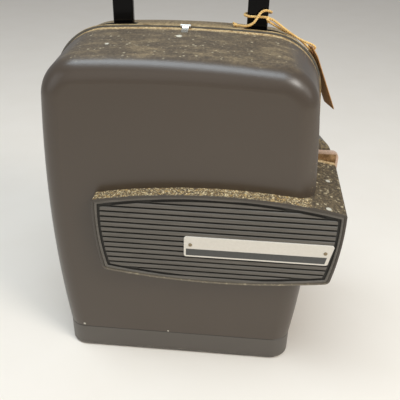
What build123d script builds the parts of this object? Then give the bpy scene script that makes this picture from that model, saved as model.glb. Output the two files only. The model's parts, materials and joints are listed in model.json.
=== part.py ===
from build123d import *
from math import cos, pi, radians, sin, tan
import os

# A movie projector closed up for carrying. Its case has three layers on one low
# base: a front cover with the lens nose, the plate that carries the mechanism,
# and a back shell for the drive, with a carry handle that slides into it.
# X runs right along the lens, Y runs back from the face and Z is up. The origin
# is on the table, under the middle of the whole object. Sizes are millimetres.

os.makedirs("parts", exist_ok=True)

# Case: half widths of the face, and heights above the table
low_half = 106.6
mid_half = 113.3
high_half = 105.2
right_lean = 2.6
mid_z = 158.0
high_z = 284.0
crown_z = 290.0
seat_z = 25.2
seam_gap = 0.4
face_corner = 30.0
rim_corner = 50.0
edge_round = 18.0
wall = 2.4
flare = tan(radians(5))

# Case: depths behind the face
cover_depth = 77.0
plate_front = 77.6
plate_thick = 4.0
plate_back = plate_front + plate_thick
rim_bead = 1.3
groove_width = 2.4
groove_depth = 2.2
shell_front = plate_back + groove_width
shell_depth = 136.0
back_round = 24.0

# Nose, measured from its own middle, which is right of the case's middle
nose_offset = 34.0
nose_proud = 12.0
nose_top_half = 103.4
nose_mid_half = 103.2
nose_low_half = 98.4
nose_crown_z = 188.0
nose_top_z = 177.6
nose_mid_z = 143.0
nose_low_z = 107.0
nose_keel_z = 99.1
nose_spread = 1.5
collar_right = 140.5
collar_top = 190.0
collar_low = 101.0

# Ribbed grille and nameplate
frame_edge = 2.0
grille_recess = 3.0
rib_pitch = 5.13
rib_count = 16
rib_height = 3.6
rib_depth = 1.7
first_groove_z = 182.5
plate_width = 125.0
plate_height = 20.5
plate_slant = 4.0
plate_x = 69.5
plate_z = 137.5
nameplate_thick = 0.9
rivet_radius = 1.6
rivet_head = 0.5

# Carry handle
leg_x = 57.2
leg_width = 17.5
leg_thick = 7.0
leg_y = 92.0
leg_low_z = 270.0
grip_low_z = 340.0
grip_height = 16.0
grip_depth = 18.0
grip_half = 71.0
pocket_floor_z = 280.0

# How far the whole object reaches each way places the origin in its middle
panel_setback = 0.4
screw_head = 1.2
rim_reach = mid_half + flare * plate_front + rim_bead
front_reach = nose_proud - panel_setback + nameplate_thick + rivet_head
back_reach = shell_depth + screw_head
case_x = (rim_reach - collar_right) / 2
face_y = (front_reach - back_reach) / 2
nose_x = case_x + nose_offset


def front_view(depth):
    """Plane facing the viewer, this far behind the face: its Y is height."""
    return Plane.XZ.offset(-(face_y + depth))


def case_section(depth, spread, corner, inset=0.0, foot=seat_z + seam_gap):
    """Outline of the case at one depth, wider than the face by spread."""
    low = low_half + spread - inset
    mid = mid_half + spread - inset
    high = high_half + spread - inset
    shoulder = high_z + spread - inset
    with BuildSketch(front_view(depth)) as section:
        with BuildLine():
            sill = Line((case_x - low, foot), (case_x + low, foot))
            right_shoulder = (case_x + high - right_lean, shoulder)
            right = ThreePointArc(sill @ 1, (case_x + mid, mid_z), right_shoulder)
            crown = (case_x, crown_z + spread - inset)
            over = ThreePointArc(right @ 1, crown, (case_x - high, shoulder))
            ThreePointArc(over @ 1, (case_x - mid, mid_z), sill @ 0)
        make_face()
        fillet(section.vertices().sort_by(Axis.Y)[-2:], corner - inset)
    return section.sketch


def corner_at(depth):
    """Radius of the case's upper corners, which grows from the face to the rim."""
    return face_corner + (rim_corner - face_corner) * depth / plate_front


def front_block(inset, back, foot):
    """Solid front half of the case, drawn in by inset all round."""
    with BuildPart() as block:
        near = case_section(inset, flare * inset, corner_at(inset), inset, foot)
        far = case_section(back, flare * back, corner_at(back), inset, foot)
        loft([near.face(), far.face()], ruled=True)
        face = block.faces().sort_by(Axis.Y)[0]
        fillet(face.edges().sort_by(Axis.Z)[1:], edge_round - inset)
    return block.part


def back_block(inset, front, foot):
    """Solid back half of the case, which narrows again towards the back."""
    back = shell_depth - inset
    wide = flare * cover_depth
    narrow = wide - flare * (back - shell_front)
    with BuildPart() as block:
        near = case_section(front, wide, rim_corner, inset, foot)
        far = case_section(back, narrow, rim_corner - 4, inset, foot)
        loft([near.face(), far.face()], ruled=True)
        face = block.faces().sort_by(Axis.Y)[-1]
        fillet(face.edges().sort_by(Axis.Z)[1:], back_round - inset)
    return block.part


def nose_section(depth, spread=0.0, inset=0.0):
    """Outline of the nose: arched above and below, drawn in towards its foot."""
    grow = spread - inset
    with BuildSketch(front_view(depth)) as section:
        with BuildLine():
            top = ThreePointArc(
                (nose_x - nose_top_half - grow, nose_top_z + grow),
                (nose_x, nose_crown_z + grow),
                (nose_x + nose_top_half + grow, nose_top_z + grow),
            )
            right = ThreePointArc(
                top @ 1,
                (nose_x + nose_mid_half + grow, nose_mid_z),
                (nose_x + nose_low_half + grow, nose_low_z - grow),
            )
            keel = ThreePointArc(
                right @ 1,
                (nose_x, nose_keel_z - grow),
                (nose_x - nose_low_half - grow, nose_low_z - grow),
            )
            ThreePointArc(keel @ 1, (nose_x - nose_mid_half - grow, nose_mid_z), top @ 0)
        make_face()
        fillet(section.vertices().sort_by(Axis.Y)[-2:], max(3.0 - inset, 0.6))
        fillet(section.vertices().sort_by(Axis.Y)[:2], max(5.0 - inset, 1.0))
    return section.sketch


def nose_block(inset, front, back):
    """Solid nose from front to back, drawn in by inset."""
    with BuildPart() as block:
        near = nose_section(front, 0.0, inset)
        far = nose_section(back, nose_spread, inset)
        loft([near.face(), far.face()], ruled=True)
    return block.part


def finish(builder, name):
    """Label a finished piece and write its file."""
    builder.part.label = name
    export_step(builder.part, f"parts/{name}.step")


# Base: a low tray whose walls continue the case down to the table
foot_drop = 1.5
base_floor = 3.5
base_wall = 2.5
lug_depth = 10.0
lug_spots = (case_x - 84.0, case_x + 84.0)
rim_half = low_half + flare * cover_depth
rear_half = rim_half - flare * (shell_depth - shell_front)
foot_radius = 9.0
foot_inset_x = 82.0
foot_front = 24.0
foot_back = 114.0


def base_plan(inset, front_radius, rear_radius):
    """Plan of the base: widest at the seam, round at its corners."""
    with BuildSketch(Plane.XY.offset(foot_drop)) as plan:
        with BuildLine():
            front = face_y + inset
            seam = face_y + cover_depth
            back = face_y + shell_depth - inset
            Polyline(
                (case_x - low_half + inset, front),
                (case_x + low_half - inset, front),
                (case_x + rim_half - inset, seam),
                (case_x + rear_half - inset, back),
                (case_x - rear_half + inset, back),
                (case_x - rim_half + inset, seam),
                close=True,
            )
        make_face()
        fillet(plan.vertices().sort_by(Axis.Y)[:2], front_radius)
        fillet(plan.vertices().sort_by(Axis.Y)[-2:], rear_radius)
    return plan.sketch


foot_spots = [
    (case_x + side * foot_inset_x, face_y + depth)
    for side in (-1, 1)
    for depth in (foot_front, foot_back)
]

with BuildPart() as base_tray:
    extrude(base_plan(0.0, edge_round, back_round), amount=seat_z - foot_drop)
    fillet(base_tray.faces().sort_by(Axis.Z)[-1].edges(), 0.9)
    fillet(base_tray.faces().sort_by(Axis.Z)[0].edges(), 1.2)
    hollow = base_plan(base_wall, edge_round - base_wall, back_round - base_wall)
    extrude(hollow.moved(Location((0, 0, base_floor))), amount=seat_z, mode=Mode.SUBTRACT)
    with Locations((case_x, face_y + plate_front, foot_drop + 1.0)):
        rib_size = (2 * (rim_half - base_wall / 2), plate_thick, seat_z - foot_drop - 1.0)
        Box(*rib_size, align=(Align.CENTER, Align.MIN, Align.MIN))
    with Locations(*[(x, face_y + plate_back, foot_drop + 1.0) for x in lug_spots]):
        boss_size = (16.0, lug_depth, seat_z - foot_drop - 1.0)
        Box(*boss_size, align=(Align.CENTER, Align.MIN, Align.MIN))
finish(base_tray, "base_tray")

with BuildPart() as rubber_feet:
    with Locations(*[(x, y, 0) for x, y in foot_spots]):
        Cylinder(foot_radius, foot_drop, align=(Align.CENTER, Align.CENTER, Align.MIN))
    chamfer(rubber_feet.edges().filter_by(GeomType.CIRCLE).group_by(Axis.Z)[0], 0.5)
finish(rubber_feet, "rubber_feet")

# Concealed hinge: swan-neck arms on the cover turn about pins inside the base.
# A neck reaches over the base wall, so the cover can lie down in front of it.
hinge_y = 6.5
hinge_z = 16.8
hinge_x = 74.0
neck_inner = 11.7
neck_outer = 15.2
neck_width = 5.0
pin_radius = 1.5
pin_clearance = 0.05
cheek_thick = 2.0
cheek_gap = 0.4
axis_y = face_y + hinge_y
hinge_spots = (case_x - hinge_x, case_x + hinge_x)


def ring_point(radius, angle):
    """Point about the hinge axis in a plane across it, from straight back."""
    turn = radians(angle)
    return (axis_y + radius * cos(turn), hinge_z + radius * sin(turn))


with BuildPart() as cover_hinge_arms:
    for x in hinge_spots:
        with BuildSketch(Plane.YZ.offset(x - neck_width / 2)):
            with BuildLine():
                inside = ThreePointArc(*[ring_point(neck_inner, a) for a in (-30, 30, 92)])
                outside = ThreePointArc(*[ring_point(neck_outer, a) for a in (-30, 30, 92)])
                Line(inside @ 0, outside @ 0)
                Line(inside @ 1, outside @ 1)
            make_face()
            with Locations((axis_y, hinge_z)):
                Circle(3.0)
            with Locations(Location((axis_y, hinge_z, 0), (0, 0, -18))):
                Rectangle(neck_outer - 1, 3.6, align=(Align.MIN, Align.CENTER))
            root_y = face_y + wall
            with Locations((root_y, hinge_z + neck_inner)):
                Rectangle(hinge_y - wall + 0.6, 3.5, align=(Align.MIN, Align.MIN))
            with Locations((root_y, hinge_z + neck_inner)):
                Rectangle(2.0, 20.0, align=(Align.MIN, Align.MIN))
            with Locations((axis_y, hinge_z)):
                Circle(pin_radius + pin_clearance, mode=Mode.SUBTRACT)
        extrude(amount=neck_width)
finish(cover_hinge_arms, "cover_hinge_arms")

cheek_reach = neck_width / 2 + cheek_gap
with BuildPart() as hinge_brackets:
    for x in hinge_spots:
        for side in (-1, 1):
            inner = x + side * cheek_reach
            start = inner if side > 0 else inner - cheek_thick
            with BuildSketch(Plane.YZ.offset(start)):
                low = foot_drop + base_floor
                with Locations((axis_y, low)):
                    Rectangle(7.0, hinge_z - low, align=(Align.CENTER, Align.MIN))
                with Locations((axis_y, hinge_z)):
                    Circle(3.5)
                    Circle(pin_radius, mode=Mode.SUBTRACT)
            extrude(amount=cheek_thick)
        with Locations((x, axis_y + 3.0, foot_drop + base_floor)):
            web = 2 * (cheek_reach + cheek_thick)
            Box(web, 13.0, 1.2, align=(Align.CENTER, Align.CENTER, Align.MIN))
finish(hinge_brackets, "hinge_brackets")

with BuildPart() as hinge_pins:
    for x in hinge_spots:
        with BuildSketch(Plane.YZ.offset(x - cheek_reach - cheek_thick - 0.5)):
            with Locations((axis_y, hinge_z)):
                Circle(pin_radius)
        extrude(amount=2 * (cheek_reach + cheek_thick + 0.5))
finish(hinge_pins, "hinge_pins")

# Front cover: the case's front half and the nose, one hollow moulding. The edge
# of its front wall is relieved on the inside, where it turns past the base.
keeper_x = case_x + 3.0
relief_half = 92.0
relief_end = 101.0
relief_radius = 10.75
relief_end_radius = 8.8
nose_wall_front = grille_recess + wall - nose_proud


def relief_disc(x, radius):
    """Disc about the hinge axis in a plane across it."""
    with BuildSketch(Plane.YZ.offset(x)) as disc:
        with Locations((axis_y, hinge_z)):
            Circle(radius)
    return disc.sketch.face()


with BuildPart() as front_cover:
    add(front_block(0.0, cover_depth, seat_z + seam_gap))
    add(nose_block(0.0, -nose_proud, cover_depth))
    nose_rim = front_cover.faces().sort_by(Axis.Y)[0].edges()
    fillet(nose_rim, 0.8)
    add(front_block(wall, cover_depth + 5, seat_z - 10), mode=Mode.SUBTRACT)
    add(nose_block(wall, nose_wall_front, cover_depth + 5), mode=Mode.SUBTRACT)
    extrude(nose_section(-nose_proud, 0.0, frame_edge), amount=-grille_recess, mode=Mode.SUBTRACT)
    extrude(relief_disc(case_x - relief_half, relief_radius), amount=2 * relief_half, mode=Mode.SUBTRACT)
    for side in (-1, 1):
        near = relief_disc(case_x + side * relief_half, relief_radius)
        far = relief_disc(case_x + side * relief_end, relief_end_radius)
        loft([near, far], ruled=True, mode=Mode.SUBTRACT)
finish(front_cover, "front_cover")

# Grille: a ribbed panel let into the nose, with a slot round the ends of its ribs
grille_inset = frame_edge + 0.25
panel_front = panel_setback - nose_proud
panel_thick = grille_recess - panel_setback
border = 4.2
rib_gap = 2.4
with BuildPart() as grille_panel:
    extrude(nose_section(panel_front, 0.0, grille_inset), amount=-panel_thick)
    with BuildSketch(front_view(panel_front)) as grooves:
        add(front_view(panel_front).to_local_coords(nose_section(panel_front, 0.0, border)))
        with BuildSketch(mode=Mode.PRIVATE) as ribs:
            for number in range(rib_count - 1):
                groove_z = first_groove_z - rib_pitch * number
                with Locations((nose_x, groove_z - rib_pitch / 2)):
                    Rectangle(2 * nose_top_half, rib_height)
            ends = nose_section(panel_front, 0.0, border + rib_gap)
            add(front_view(panel_front).to_local_coords(ends), mode=Mode.INTERSECT)
        add(ribs.sketch, mode=Mode.SUBTRACT)
        with Locations((nose_x, first_groove_z + (rib_pitch - rib_height) / 2)):
            Rectangle(400, 60, align=(Align.CENTER, Align.MIN), mode=Mode.SUBTRACT)
        lowest = first_groove_z - rib_pitch * (rib_count - 1) - (rib_pitch - rib_height) / 2
        with Locations((nose_x, lowest)):
            Rectangle(400, 60, align=(Align.CENTER, Align.MAX), mode=Mode.SUBTRACT)
    extrude(amount=-rib_depth, mode=Mode.SUBTRACT)
    rib_edges = grille_panel.edges().filter_by(Axis.X).group_by(Axis.Y)[0]
    chamfer(rib_edges, 0.45)
finish(grille_panel, "grille_panel")

# Nameplate: a bare plate over the ribs, cut slanting beside the nose's end
plate_front_y = panel_front - nameplate_thick
with BuildPart() as nameplate:
    with BuildSketch(front_view(plate_front_y)) as outline:
        left = case_x + plate_x - plate_width / 2
        right = left + plate_width
        low = plate_z - plate_height / 2
        high = low + plate_height
        with BuildLine():
            Polyline((left, low), (right - plate_slant, low), (right, high), (left, high), close=True)
        make_face()
        fillet(outline.vertices(), 2.2)
    extrude(amount=-nameplate_thick)
    chamfer(nameplate.faces().sort_by(Axis.Y)[0].edges(), 0.25)
finish(nameplate, "nameplate")

rivet_spots = [(left + 5.5, plate_z + 2.2), (right - 7.0, plate_z + 2.2)]
with BuildPart() as nameplate_rivets:
    with BuildSketch(front_view(plate_front_y - rivet_head)):
        with Locations(*rivet_spots):
            Circle(rivet_radius)
    extrude(amount=-rivet_head)
    chamfer(nameplate_rivets.edges().filter_by(GeomType.CIRCLE).group_by(Axis.Y)[0], 0.25)
finish(nameplate_rivets, "nameplate_rivets")

# Finger tab at the top of the cover, and the leaf catch that holds it shut
tab_x = case_x - 2.0
tab_width = 5.5
tab_z = crown_z + flare * cover_depth
with BuildPart() as finger_tab:
    with BuildSketch(Plane.YZ.offset(tab_x - tab_width / 2)):
        with BuildLine():
            Polyline(
                (face_y + 63.5, tab_z - flare * 13.5),
                (face_y + 75.0, tab_z - flare * 2.0),
                (face_y + 76.8, tab_z + 1.0),
                (face_y + 76.8, tab_z + 2.6),
                (face_y + 75.3, tab_z + 2.6),
                (face_y + 73.6, tab_z + 0.9),
                (face_y + 63.5, tab_z - flare * 13.5 + 1.0),
                close=True,
            )
        make_face()
    extrude(amount=tab_width)
    with Locations((tab_x, face_y + 76.0, tab_z + 1.9)):
        Cylinder(1.3, tab_width + 3.0, rotation=(0, 90, 0))
finish(finger_tab, "finger_tab")

catch_z = 276.0
tongue_half = 1.0
leaf_gap = 0.35
leaf_thick = 0.8
roof_z = crown_z - wall
with BuildPart() as catch_tongue:
    with Locations((keeper_x, face_y + 72.0, catch_z)):
        Box(2 * tongue_half, 24.0, 8.0)
    with BuildSketch(Plane.YZ.offset(keeper_x - tongue_half)):
        with BuildLine():
            Polyline(
                (face_y + 60.0, catch_z - 4.0),
                (face_y + 68.0, catch_z - 4.0),
                (face_y + 68.0, roof_z + flare * 68.0 - 0.1),
                (face_y + 60.0, roof_z + flare * 60.0 - 0.1),
                close=True,
            )
        make_face()
    extrude(amount=2 * tongue_half)
    with BuildSketch(Plane.YZ.offset(keeper_x - 6.0)):
        with BuildLine():
            Polyline(
                (face_y + 60.0, roof_z + flare * 60.0 - 1.6),
                (face_y + 68.0, roof_z + flare * 68.0 - 1.6),
                (face_y + 68.0, roof_z + flare * 68.0 - 0.1),
                (face_y + 60.0, roof_z + flare * 60.0 - 0.1),
                close=True,
            )
        make_face()
    extrude(amount=12.0)
finish(catch_tongue, "catch_tongue")

with BuildPart() as catch_spring:
    for side in (-1, 1):
        leaf_x = keeper_x + side * (tongue_half + leaf_gap + leaf_thick / 2)
        with Locations((leaf_x, face_y + 80.0, catch_z)):
            Box(leaf_thick, 12.0, 11.0)
        with Locations((leaf_x + side * 3.6, face_y + plate_back, catch_z)):
            Box(8.0, leaf_thick, 11.0, align=(Align.CENTER, Align.MIN, Align.CENTER))
    with Locations((keeper_x, face_y + 86.0, catch_z)):
        Box(2 * (tongue_half + leaf_gap + leaf_thick), leaf_thick, 11.0)
finish(catch_spring, "catch_spring")

# Mechanism: places of the shafts, seen from the front, and of the light path
beam_y = face_y + 42.0
beam_z = 148.0
main_x = case_x + 67.0
gear_gap = 50.0
sprocket_spots = {"upper": beam_z + gear_gap, "lower": beam_z - gear_gap}
reel_x = case_x - 41.5
reel_spots = {"supply": 219.5, "takeup": 92.0}
motor_x = case_x + 20.0
motor_z = 60.0
shaft_radius = 3.0
spindle_radius = 4.0
running_gap = 0.05
bush_wall = 2.5
roller_spots = {"upper": (case_x + 92.0, 214.0), "lower": (case_x + 92.0, 82.0)}
claw_x = case_x + 78.5
claw_z = 128.0
claw_thick = 1.8
sprocket_front = 36.0
sprocket_width = 12.0
stem_radius = 2.0
roller_posts = (
    (stem_radius, sprocket_front - 2.0, plate_front),
    (3.4, sprocket_front - 2.0, sprocket_front - 0.3),
    (3.4, sprocket_front + sprocket_width + 0.3, plate_front),
)
mode_x = case_x + 60.0
mode_z = 258.0
bores = [(main_x, beam_z, shaft_radius), (motor_x, motor_z, shaft_radius)]
bores += [(main_x, z, shaft_radius) for z in sprocket_spots.values()]
bores += [(reel_x, z, spindle_radius) for z in reel_spots.values()]
bores += [(mode_x, mode_z, shaft_radius)]

# Plate: carries the mechanism, and its bare rim shows between the case's halves
collar_left = case_x + 92.0
with BuildPart() as mechanism_plate:
    rim_spread = flare * plate_front + rim_bead
    rim = case_section(plate_front, rim_spread, rim_corner, 0.0, seat_z)
    extrude(rim, amount=-plate_thick)
    collar_width = case_x + collar_right - collar_left
    collar_height = collar_top - collar_low
    with BuildSketch(front_view(plate_front)):
        with Locations((collar_left + collar_width / 2, collar_low + collar_height / 2)):
            RectangleRounded(collar_width, collar_height, 6.0)
    extrude(amount=-plate_thick)
    lip_outer = case_section(plate_front, rim_spread, rim_corner, rim_bead + 3.8, seat_z + 6)
    lip_inner = case_section(plate_front, rim_spread, rim_corner, rim_bead + 5.6, seat_z + 4)
    extrude(lip_outer, amount=6.0)
    extrude(lip_inner, amount=6.0, mode=Mode.SUBTRACT)
    with Locations((case_x + 110.0, face_y + plate_front - 3.0, 143.0)):
        Box(60.0, 6.0, 100.0, mode=Mode.SUBTRACT)
    with Locations((case_x, face_y + plate_front - 3.0, seat_z + 9.0)):
        Box(260.0, 6.0, 18.0, mode=Mode.SUBTRACT)
    with BuildSketch(front_view(plate_front - 5.0)):
        for x, z, radius in bores:
            with Locations((x, z)):
                Circle(radius + bush_wall + 1.5)
    extrude(amount=-plate_thick - 5.0)
    with BuildSketch(front_view(plate_front - 6.0)):
        for x, z, radius in bores:
            with Locations((x, z)):
                Circle(radius + bush_wall)
        with Locations((keeper_x, catch_z)):
            Rectangle(6.5, 15.0)
        with Locations((claw_x, claw_z)):
            Rectangle(5.0, 14.0)
    extrude(amount=-plate_thick - 8.0, mode=Mode.SUBTRACT)
    with Locations((claw_x, face_y + plate_front, claw_z)):
        Box(5.6, 7.0, 17.0, align=(Align.CENTER, Align.MAX, Align.CENTER))
        guide = (claw_thick + 0.4, 20.0, 8.6)
        Box(*guide, mode=Mode.SUBTRACT)
    for x, z in roller_spots.values():
        for radius, front, back in roller_posts:
            with BuildSketch(front_view(front)):
                with Locations((x, z)):
                    Circle(radius)
            extrude(amount=-(back - front))
    with Locations(*[(x, face_y + plate_back, seat_z) for x in lug_spots]):
        Box(16.0, lug_depth, 3.0, align=(Align.CENTER, Align.MIN, Align.MIN))
finish(mechanism_plate, "mechanism_plate")

with BuildPart() as shaft_bushes:
    with BuildSketch(front_view(plate_front - 5.5)):
        for x, z, radius in bores:
            with Locations((x, z)):
                Circle(radius + bush_wall)
                Circle(radius + running_gap, mode=Mode.SUBTRACT)
    extrude(amount=-plate_thick - 6.0)
finish(shaft_bushes, "shaft_bushes")

# Back shell: hollow, with a step that leaves a groove behind the plate's rim,
# a nose that continues the collar, pockets for the handle and rows of vents
shell_nose_top = 200.5
shell_nose_right = 134.5
inlet_x = case_x - 62.0
inlet_z = 62.0
inlet_width = 30.0
inlet_height = 20.0
pocket_inner = 46.0
pocket_outer = 86.0
pocket_front = 85.0
pocket_back = 99.0
screw_spots = [(case_x + side * 84.0, z) for side in (-1, 1) for z in (52.0, 246.0)]
vent_spots = [(case_x + 50.0, 168.0 + 9.0 * row) for row in range(8)]
vent_length = 64.0
vent_height = 3.4


def shell_nose(inset, front):
    """Rear part of the nose, drawn in towards the back."""
    with BuildPart() as block:
        for depth, draw in ((front, 0.0), (shell_front + 40.0 - inset, 7.0)):
            with BuildSketch(front_view(depth)) as end:
                right = case_x + shell_nose_right - draw - inset
                top = shell_nose_top - draw / 2 - inset
                low = nose_low_z + 2.0 + draw / 2 + inset
                width = right - collar_left
                with Locations((collar_left + width / 2, (top + low) / 2)):
                    Rectangle(width, top - low)
                fillet(end.vertices().sort_by(Axis.X)[-2:].sort_by(Axis.Y)[-1:], 18.0 - inset)
                fillet(end.vertices().sort_by(Axis.X)[-2:].sort_by(Axis.Y)[:1], 8.0 - inset)
            if depth == front:
                near = end.sketch.face()
        loft([near, end.sketch.face()], ruled=True)
    return block.part


with BuildPart() as back_shell:
    add(back_block(0.0, shell_front, seat_z + seam_gap))
    add(shell_nose(0.0, shell_front))
    neck = case_section(plate_back, flare * cover_depth, rim_corner, groove_depth, seat_z + seam_gap)
    extrude(neck, amount=-groove_width - 2.0)
    add(back_block(wall, shell_front + 2.0, seat_z - 10), mode=Mode.SUBTRACT)
    add(shell_nose(wall, shell_front + 2.0), mode=Mode.SUBTRACT)
    bore = case_section(plate_back, flare * cover_depth, rim_corner, groove_depth + 2.0, seat_z - 10)
    extrude(bore, amount=-groove_width - 4.0, mode=Mode.SUBTRACT)
    for side in (-1, 1):
        pocket_mid = (pocket_inner + pocket_outer) / 2
        with Locations((case_x + side * pocket_mid, face_y + (pocket_front + pocket_back) / 2, high_z)):
            Box(pocket_outer - pocket_inner, pocket_back - pocket_front, 40.0, mode=Mode.SUBTRACT)
    with BuildSketch(front_view(shell_depth + 1.0)):
        with Locations((inlet_x, inlet_z)):
            Rectangle(inlet_width, inlet_height)
        with Locations(*vent_spots):
            SlotOverall(vent_length, vent_height)
        with Locations(*screw_spots):
            Circle(2.2)
    extrude(amount=8.0, mode=Mode.SUBTRACT)
finish(back_shell, "back_shell")

# Case screws pass through the shell's back into spacers that stand on the plate
screw_length = 8.0
with BuildPart() as case_screws:
    for x, z in screw_spots:
        with BuildSketch(front_view(shell_depth)):
            with Locations((x, z)):
                Circle(4.2)
        extrude(amount=-screw_head)
        fillet(case_screws.edges().filter_by(GeomType.CIRCLE).group_by(Axis.Y)[-1], 0.6)
        with BuildSketch(front_view(shell_depth)):
            with Locations((x, z)):
                Circle(2.0)
        extrude(amount=screw_length)
        with Locations((x, face_y + back_reach, z)):
            Box(6.0, 1.2, 1.0, mode=Mode.SUBTRACT)
finish(case_screws, "case_screws")

with BuildPart() as case_spacers:
    for x, z in screw_spots:
        with BuildSketch(front_view(plate_back)):
            with Locations((x, z)):
                RegularPolygon(4.5, 6)
        extrude(amount=-(shell_depth - wall - plate_back))
        with BuildSketch(front_view(shell_depth - wall)):
            with Locations((x, z)):
                Circle(2.0)
        extrude(amount=screw_length, mode=Mode.SUBTRACT)
finish(case_spacers, "case_spacers")

# Power inlet: a recessed two-pin socket
inlet_depth = 14.0
inlet_wall = 1.5
with BuildPart() as power_inlet:
    with BuildSketch(front_view(shell_depth)):
        with Locations((inlet_x, inlet_z)):
            Rectangle(inlet_width - 0.4, inlet_height - 0.4)
    extrude(amount=inlet_depth)
    with BuildSketch(front_view(shell_depth)):
        with Locations((inlet_x, inlet_z)):
            RectangleRounded(inlet_width - 5.0, inlet_height - 5.0, 2.0)
    extrude(amount=inlet_depth - inlet_wall, mode=Mode.SUBTRACT)
finish(power_inlet, "power_inlet")

pin_spread = 8.0
with BuildPart() as inlet_pins:
    with BuildSketch(front_view(shell_depth - inlet_depth + inlet_wall)):
        with Locations((inlet_x - pin_spread, inlet_z), (inlet_x + pin_spread, inlet_z)):
            Circle(1.6)
    extrude(amount=-9.0)
finish(inlet_pins, "inlet_pins")

# Carry handle: a grip on two flat legs that slide in sunken guides
guide_wall = 1.5
leg_slip = 0.25
leg_socket = 8.0
stop_thick = 4.0
with BuildPart() as handle_guides:
    for side in (-1, 1):
        middle = case_x + side * (pocket_inner + pocket_outer) / 2
        length = pocket_outer - pocket_inner - 0.4
        width = pocket_back - pocket_front - 0.4
        deep = face_y + (pocket_front + pocket_back) / 2
        with Locations((middle, deep, pocket_floor_z)):
            Box(length, width, 18.0, align=(Align.CENTER, Align.CENTER, Align.MIN))
        with Locations((middle, deep, pocket_floor_z + 2.0)):
            inner_size = (length - 2 * guide_wall, width - 2 * guide_wall, 30.0)
            Box(*inner_size, align=(Align.CENTER, Align.CENTER, Align.MIN), mode=Mode.SUBTRACT)
        slot_size = (leg_width + 2 * leg_slip, leg_thick + 2 * leg_slip, 30.0)
        with Locations((case_x + side * leg_x, face_y + leg_y, pocket_floor_z)):
            Box(*slot_size, mode=Mode.SUBTRACT)
    trim = back_block(0.3, shell_front, seat_z)
    add(trim, mode=Mode.INTERSECT)
finish(handle_guides, "handle_guides")

with BuildPart() as handle_legs:
    for side in (-1, 1):
        with BuildSketch(Plane.XY.offset(leg_low_z)) as foot:
            with Locations((case_x + side * leg_x, face_y + leg_y)):
                RectangleRounded(leg_width, leg_thick, 1.6)
        extrude(amount=grip_low_z + leg_socket - leg_low_z)
        with Locations((case_x + side * leg_x, face_y + leg_y, pocket_floor_z - 0.6)):
            stop_size = (leg_width + 5.0, leg_thick + 3.0, stop_thick)
            Box(*stop_size, align=(Align.CENTER, Align.CENTER, Align.MAX))
finish(handle_legs, "handle_legs")

with BuildPart() as handle_grip:
    with Locations((case_x, face_y + leg_y, grip_low_z)):
        Box(2 * grip_half, grip_depth, grip_height, align=(Align.CENTER, Align.CENTER, Align.MIN))
    fillet(handle_grip.edges().filter_by(Axis.Z), 6.0)
    fillet(handle_grip.faces().sort_by(Axis.Z)[-1].edges(), 5.5)
    fillet(handle_grip.faces().sort_by(Axis.Z)[0].edges(), 3.0)
    for side in (-1, 1):
        with BuildSketch(Plane.XY.offset(grip_low_z)) as socket:
            with Locations((case_x + side * leg_x, face_y + leg_y)):
                RectangleRounded(leg_width, leg_thick, 1.6)
        extrude(amount=leg_socket, mode=Mode.SUBTRACT)
finish(handle_grip, "handle_grip")

# Film reels on their spindles
reel_radius = 62.5
reel_hub = 17.0
reel_width = 12.0
reel_sheet = 1.1
reel_front = 36.0
spindle_front = 30.0
for name, z in reel_spots.items():
    with BuildPart() as reel:
        for depth in (reel_front, reel_front + reel_width - reel_sheet):
            with BuildSketch(front_view(depth)):
                with Locations((reel_x, z)):
                    Circle(reel_radius)
            extrude(amount=-reel_sheet)
        with BuildSketch(front_view(reel_front)):
            with Locations((reel_x, z)):
                with PolarLocations(39.0, 3, start_angle=90):
                    SlotOverall(34.0, 22.0, rotation=90)
                with PolarLocations(42.0, 3, start_angle=30):
                    Circle(5.0)
        extrude(amount=-reel_width, mode=Mode.SUBTRACT)
        with BuildSketch(front_view(reel_front)):
            with Locations((reel_x, z)):
                Circle(reel_hub)
        extrude(amount=-reel_width)
        with BuildSketch(front_view(reel_front)):
            with Locations((reel_x, z)):
                Circle(spindle_radius)
        extrude(amount=-reel_width, mode=Mode.SUBTRACT)
    finish(reel, f"{name}_reel")

    with BuildPart() as spindle:
        with BuildSketch(front_view(spindle_front)):
            with Locations((reel_x, z)):
                Circle(spindle_radius)
        extrude(amount=-(plate_back + 10.0 - spindle_front))
        with BuildSketch(front_view(reel_front + reel_width)):
            with Locations((reel_x, z)):
                Circle(9.0)
        extrude(amount=-2.5)
        with BuildSketch(front_view(plate_back + 4.0)):
            with Locations((reel_x, z)):
                Circle(10.0)
        extrude(amount=-5.0)
        chamfer(spindle.faces().sort_by(Axis.Y)[0].edges(), 1.0)
    finish(spindle, f"{name}_spindle")

# Main shaft: its pinion is cut on it, and it carries the cup shutter and a pulley
shutter_radius = 12.0
shutter_front = 31.0
shutter_back = 62.0
shutter_sheet = 0.8
gear_depth = 92.0
gear_width = 5.0
pinion_teeth = 20
sprocket_teeth = 80
belt_front = 84.5
belt_width = 4.0
main_pulley_radius = 20.0
motor_pulley_radius = 7.0
belt_slack = 0.3
belt_thick = 1.4


def spur_gear(x, z, teeth, start, half_tooth=0.62):
    """Sketch of a spur gear of module 1, its first tooth at the start angle."""
    pitch = teeth / 2
    with BuildSketch(front_view(gear_depth)) as gear:
        with Locations((x, z)):
            Circle(pitch - 1.2)
            with PolarLocations(0, teeth, start_angle=start):
                Polygon(
                    (pitch - 1.5, -half_tooth - 0.5),
                    (pitch + 0.85, -half_tooth + 0.35),
                    (pitch + 0.85, half_tooth - 0.35),
                    (pitch - 1.5, half_tooth + 0.5),
                    align=None,
                )
    return gear.sketch


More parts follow.
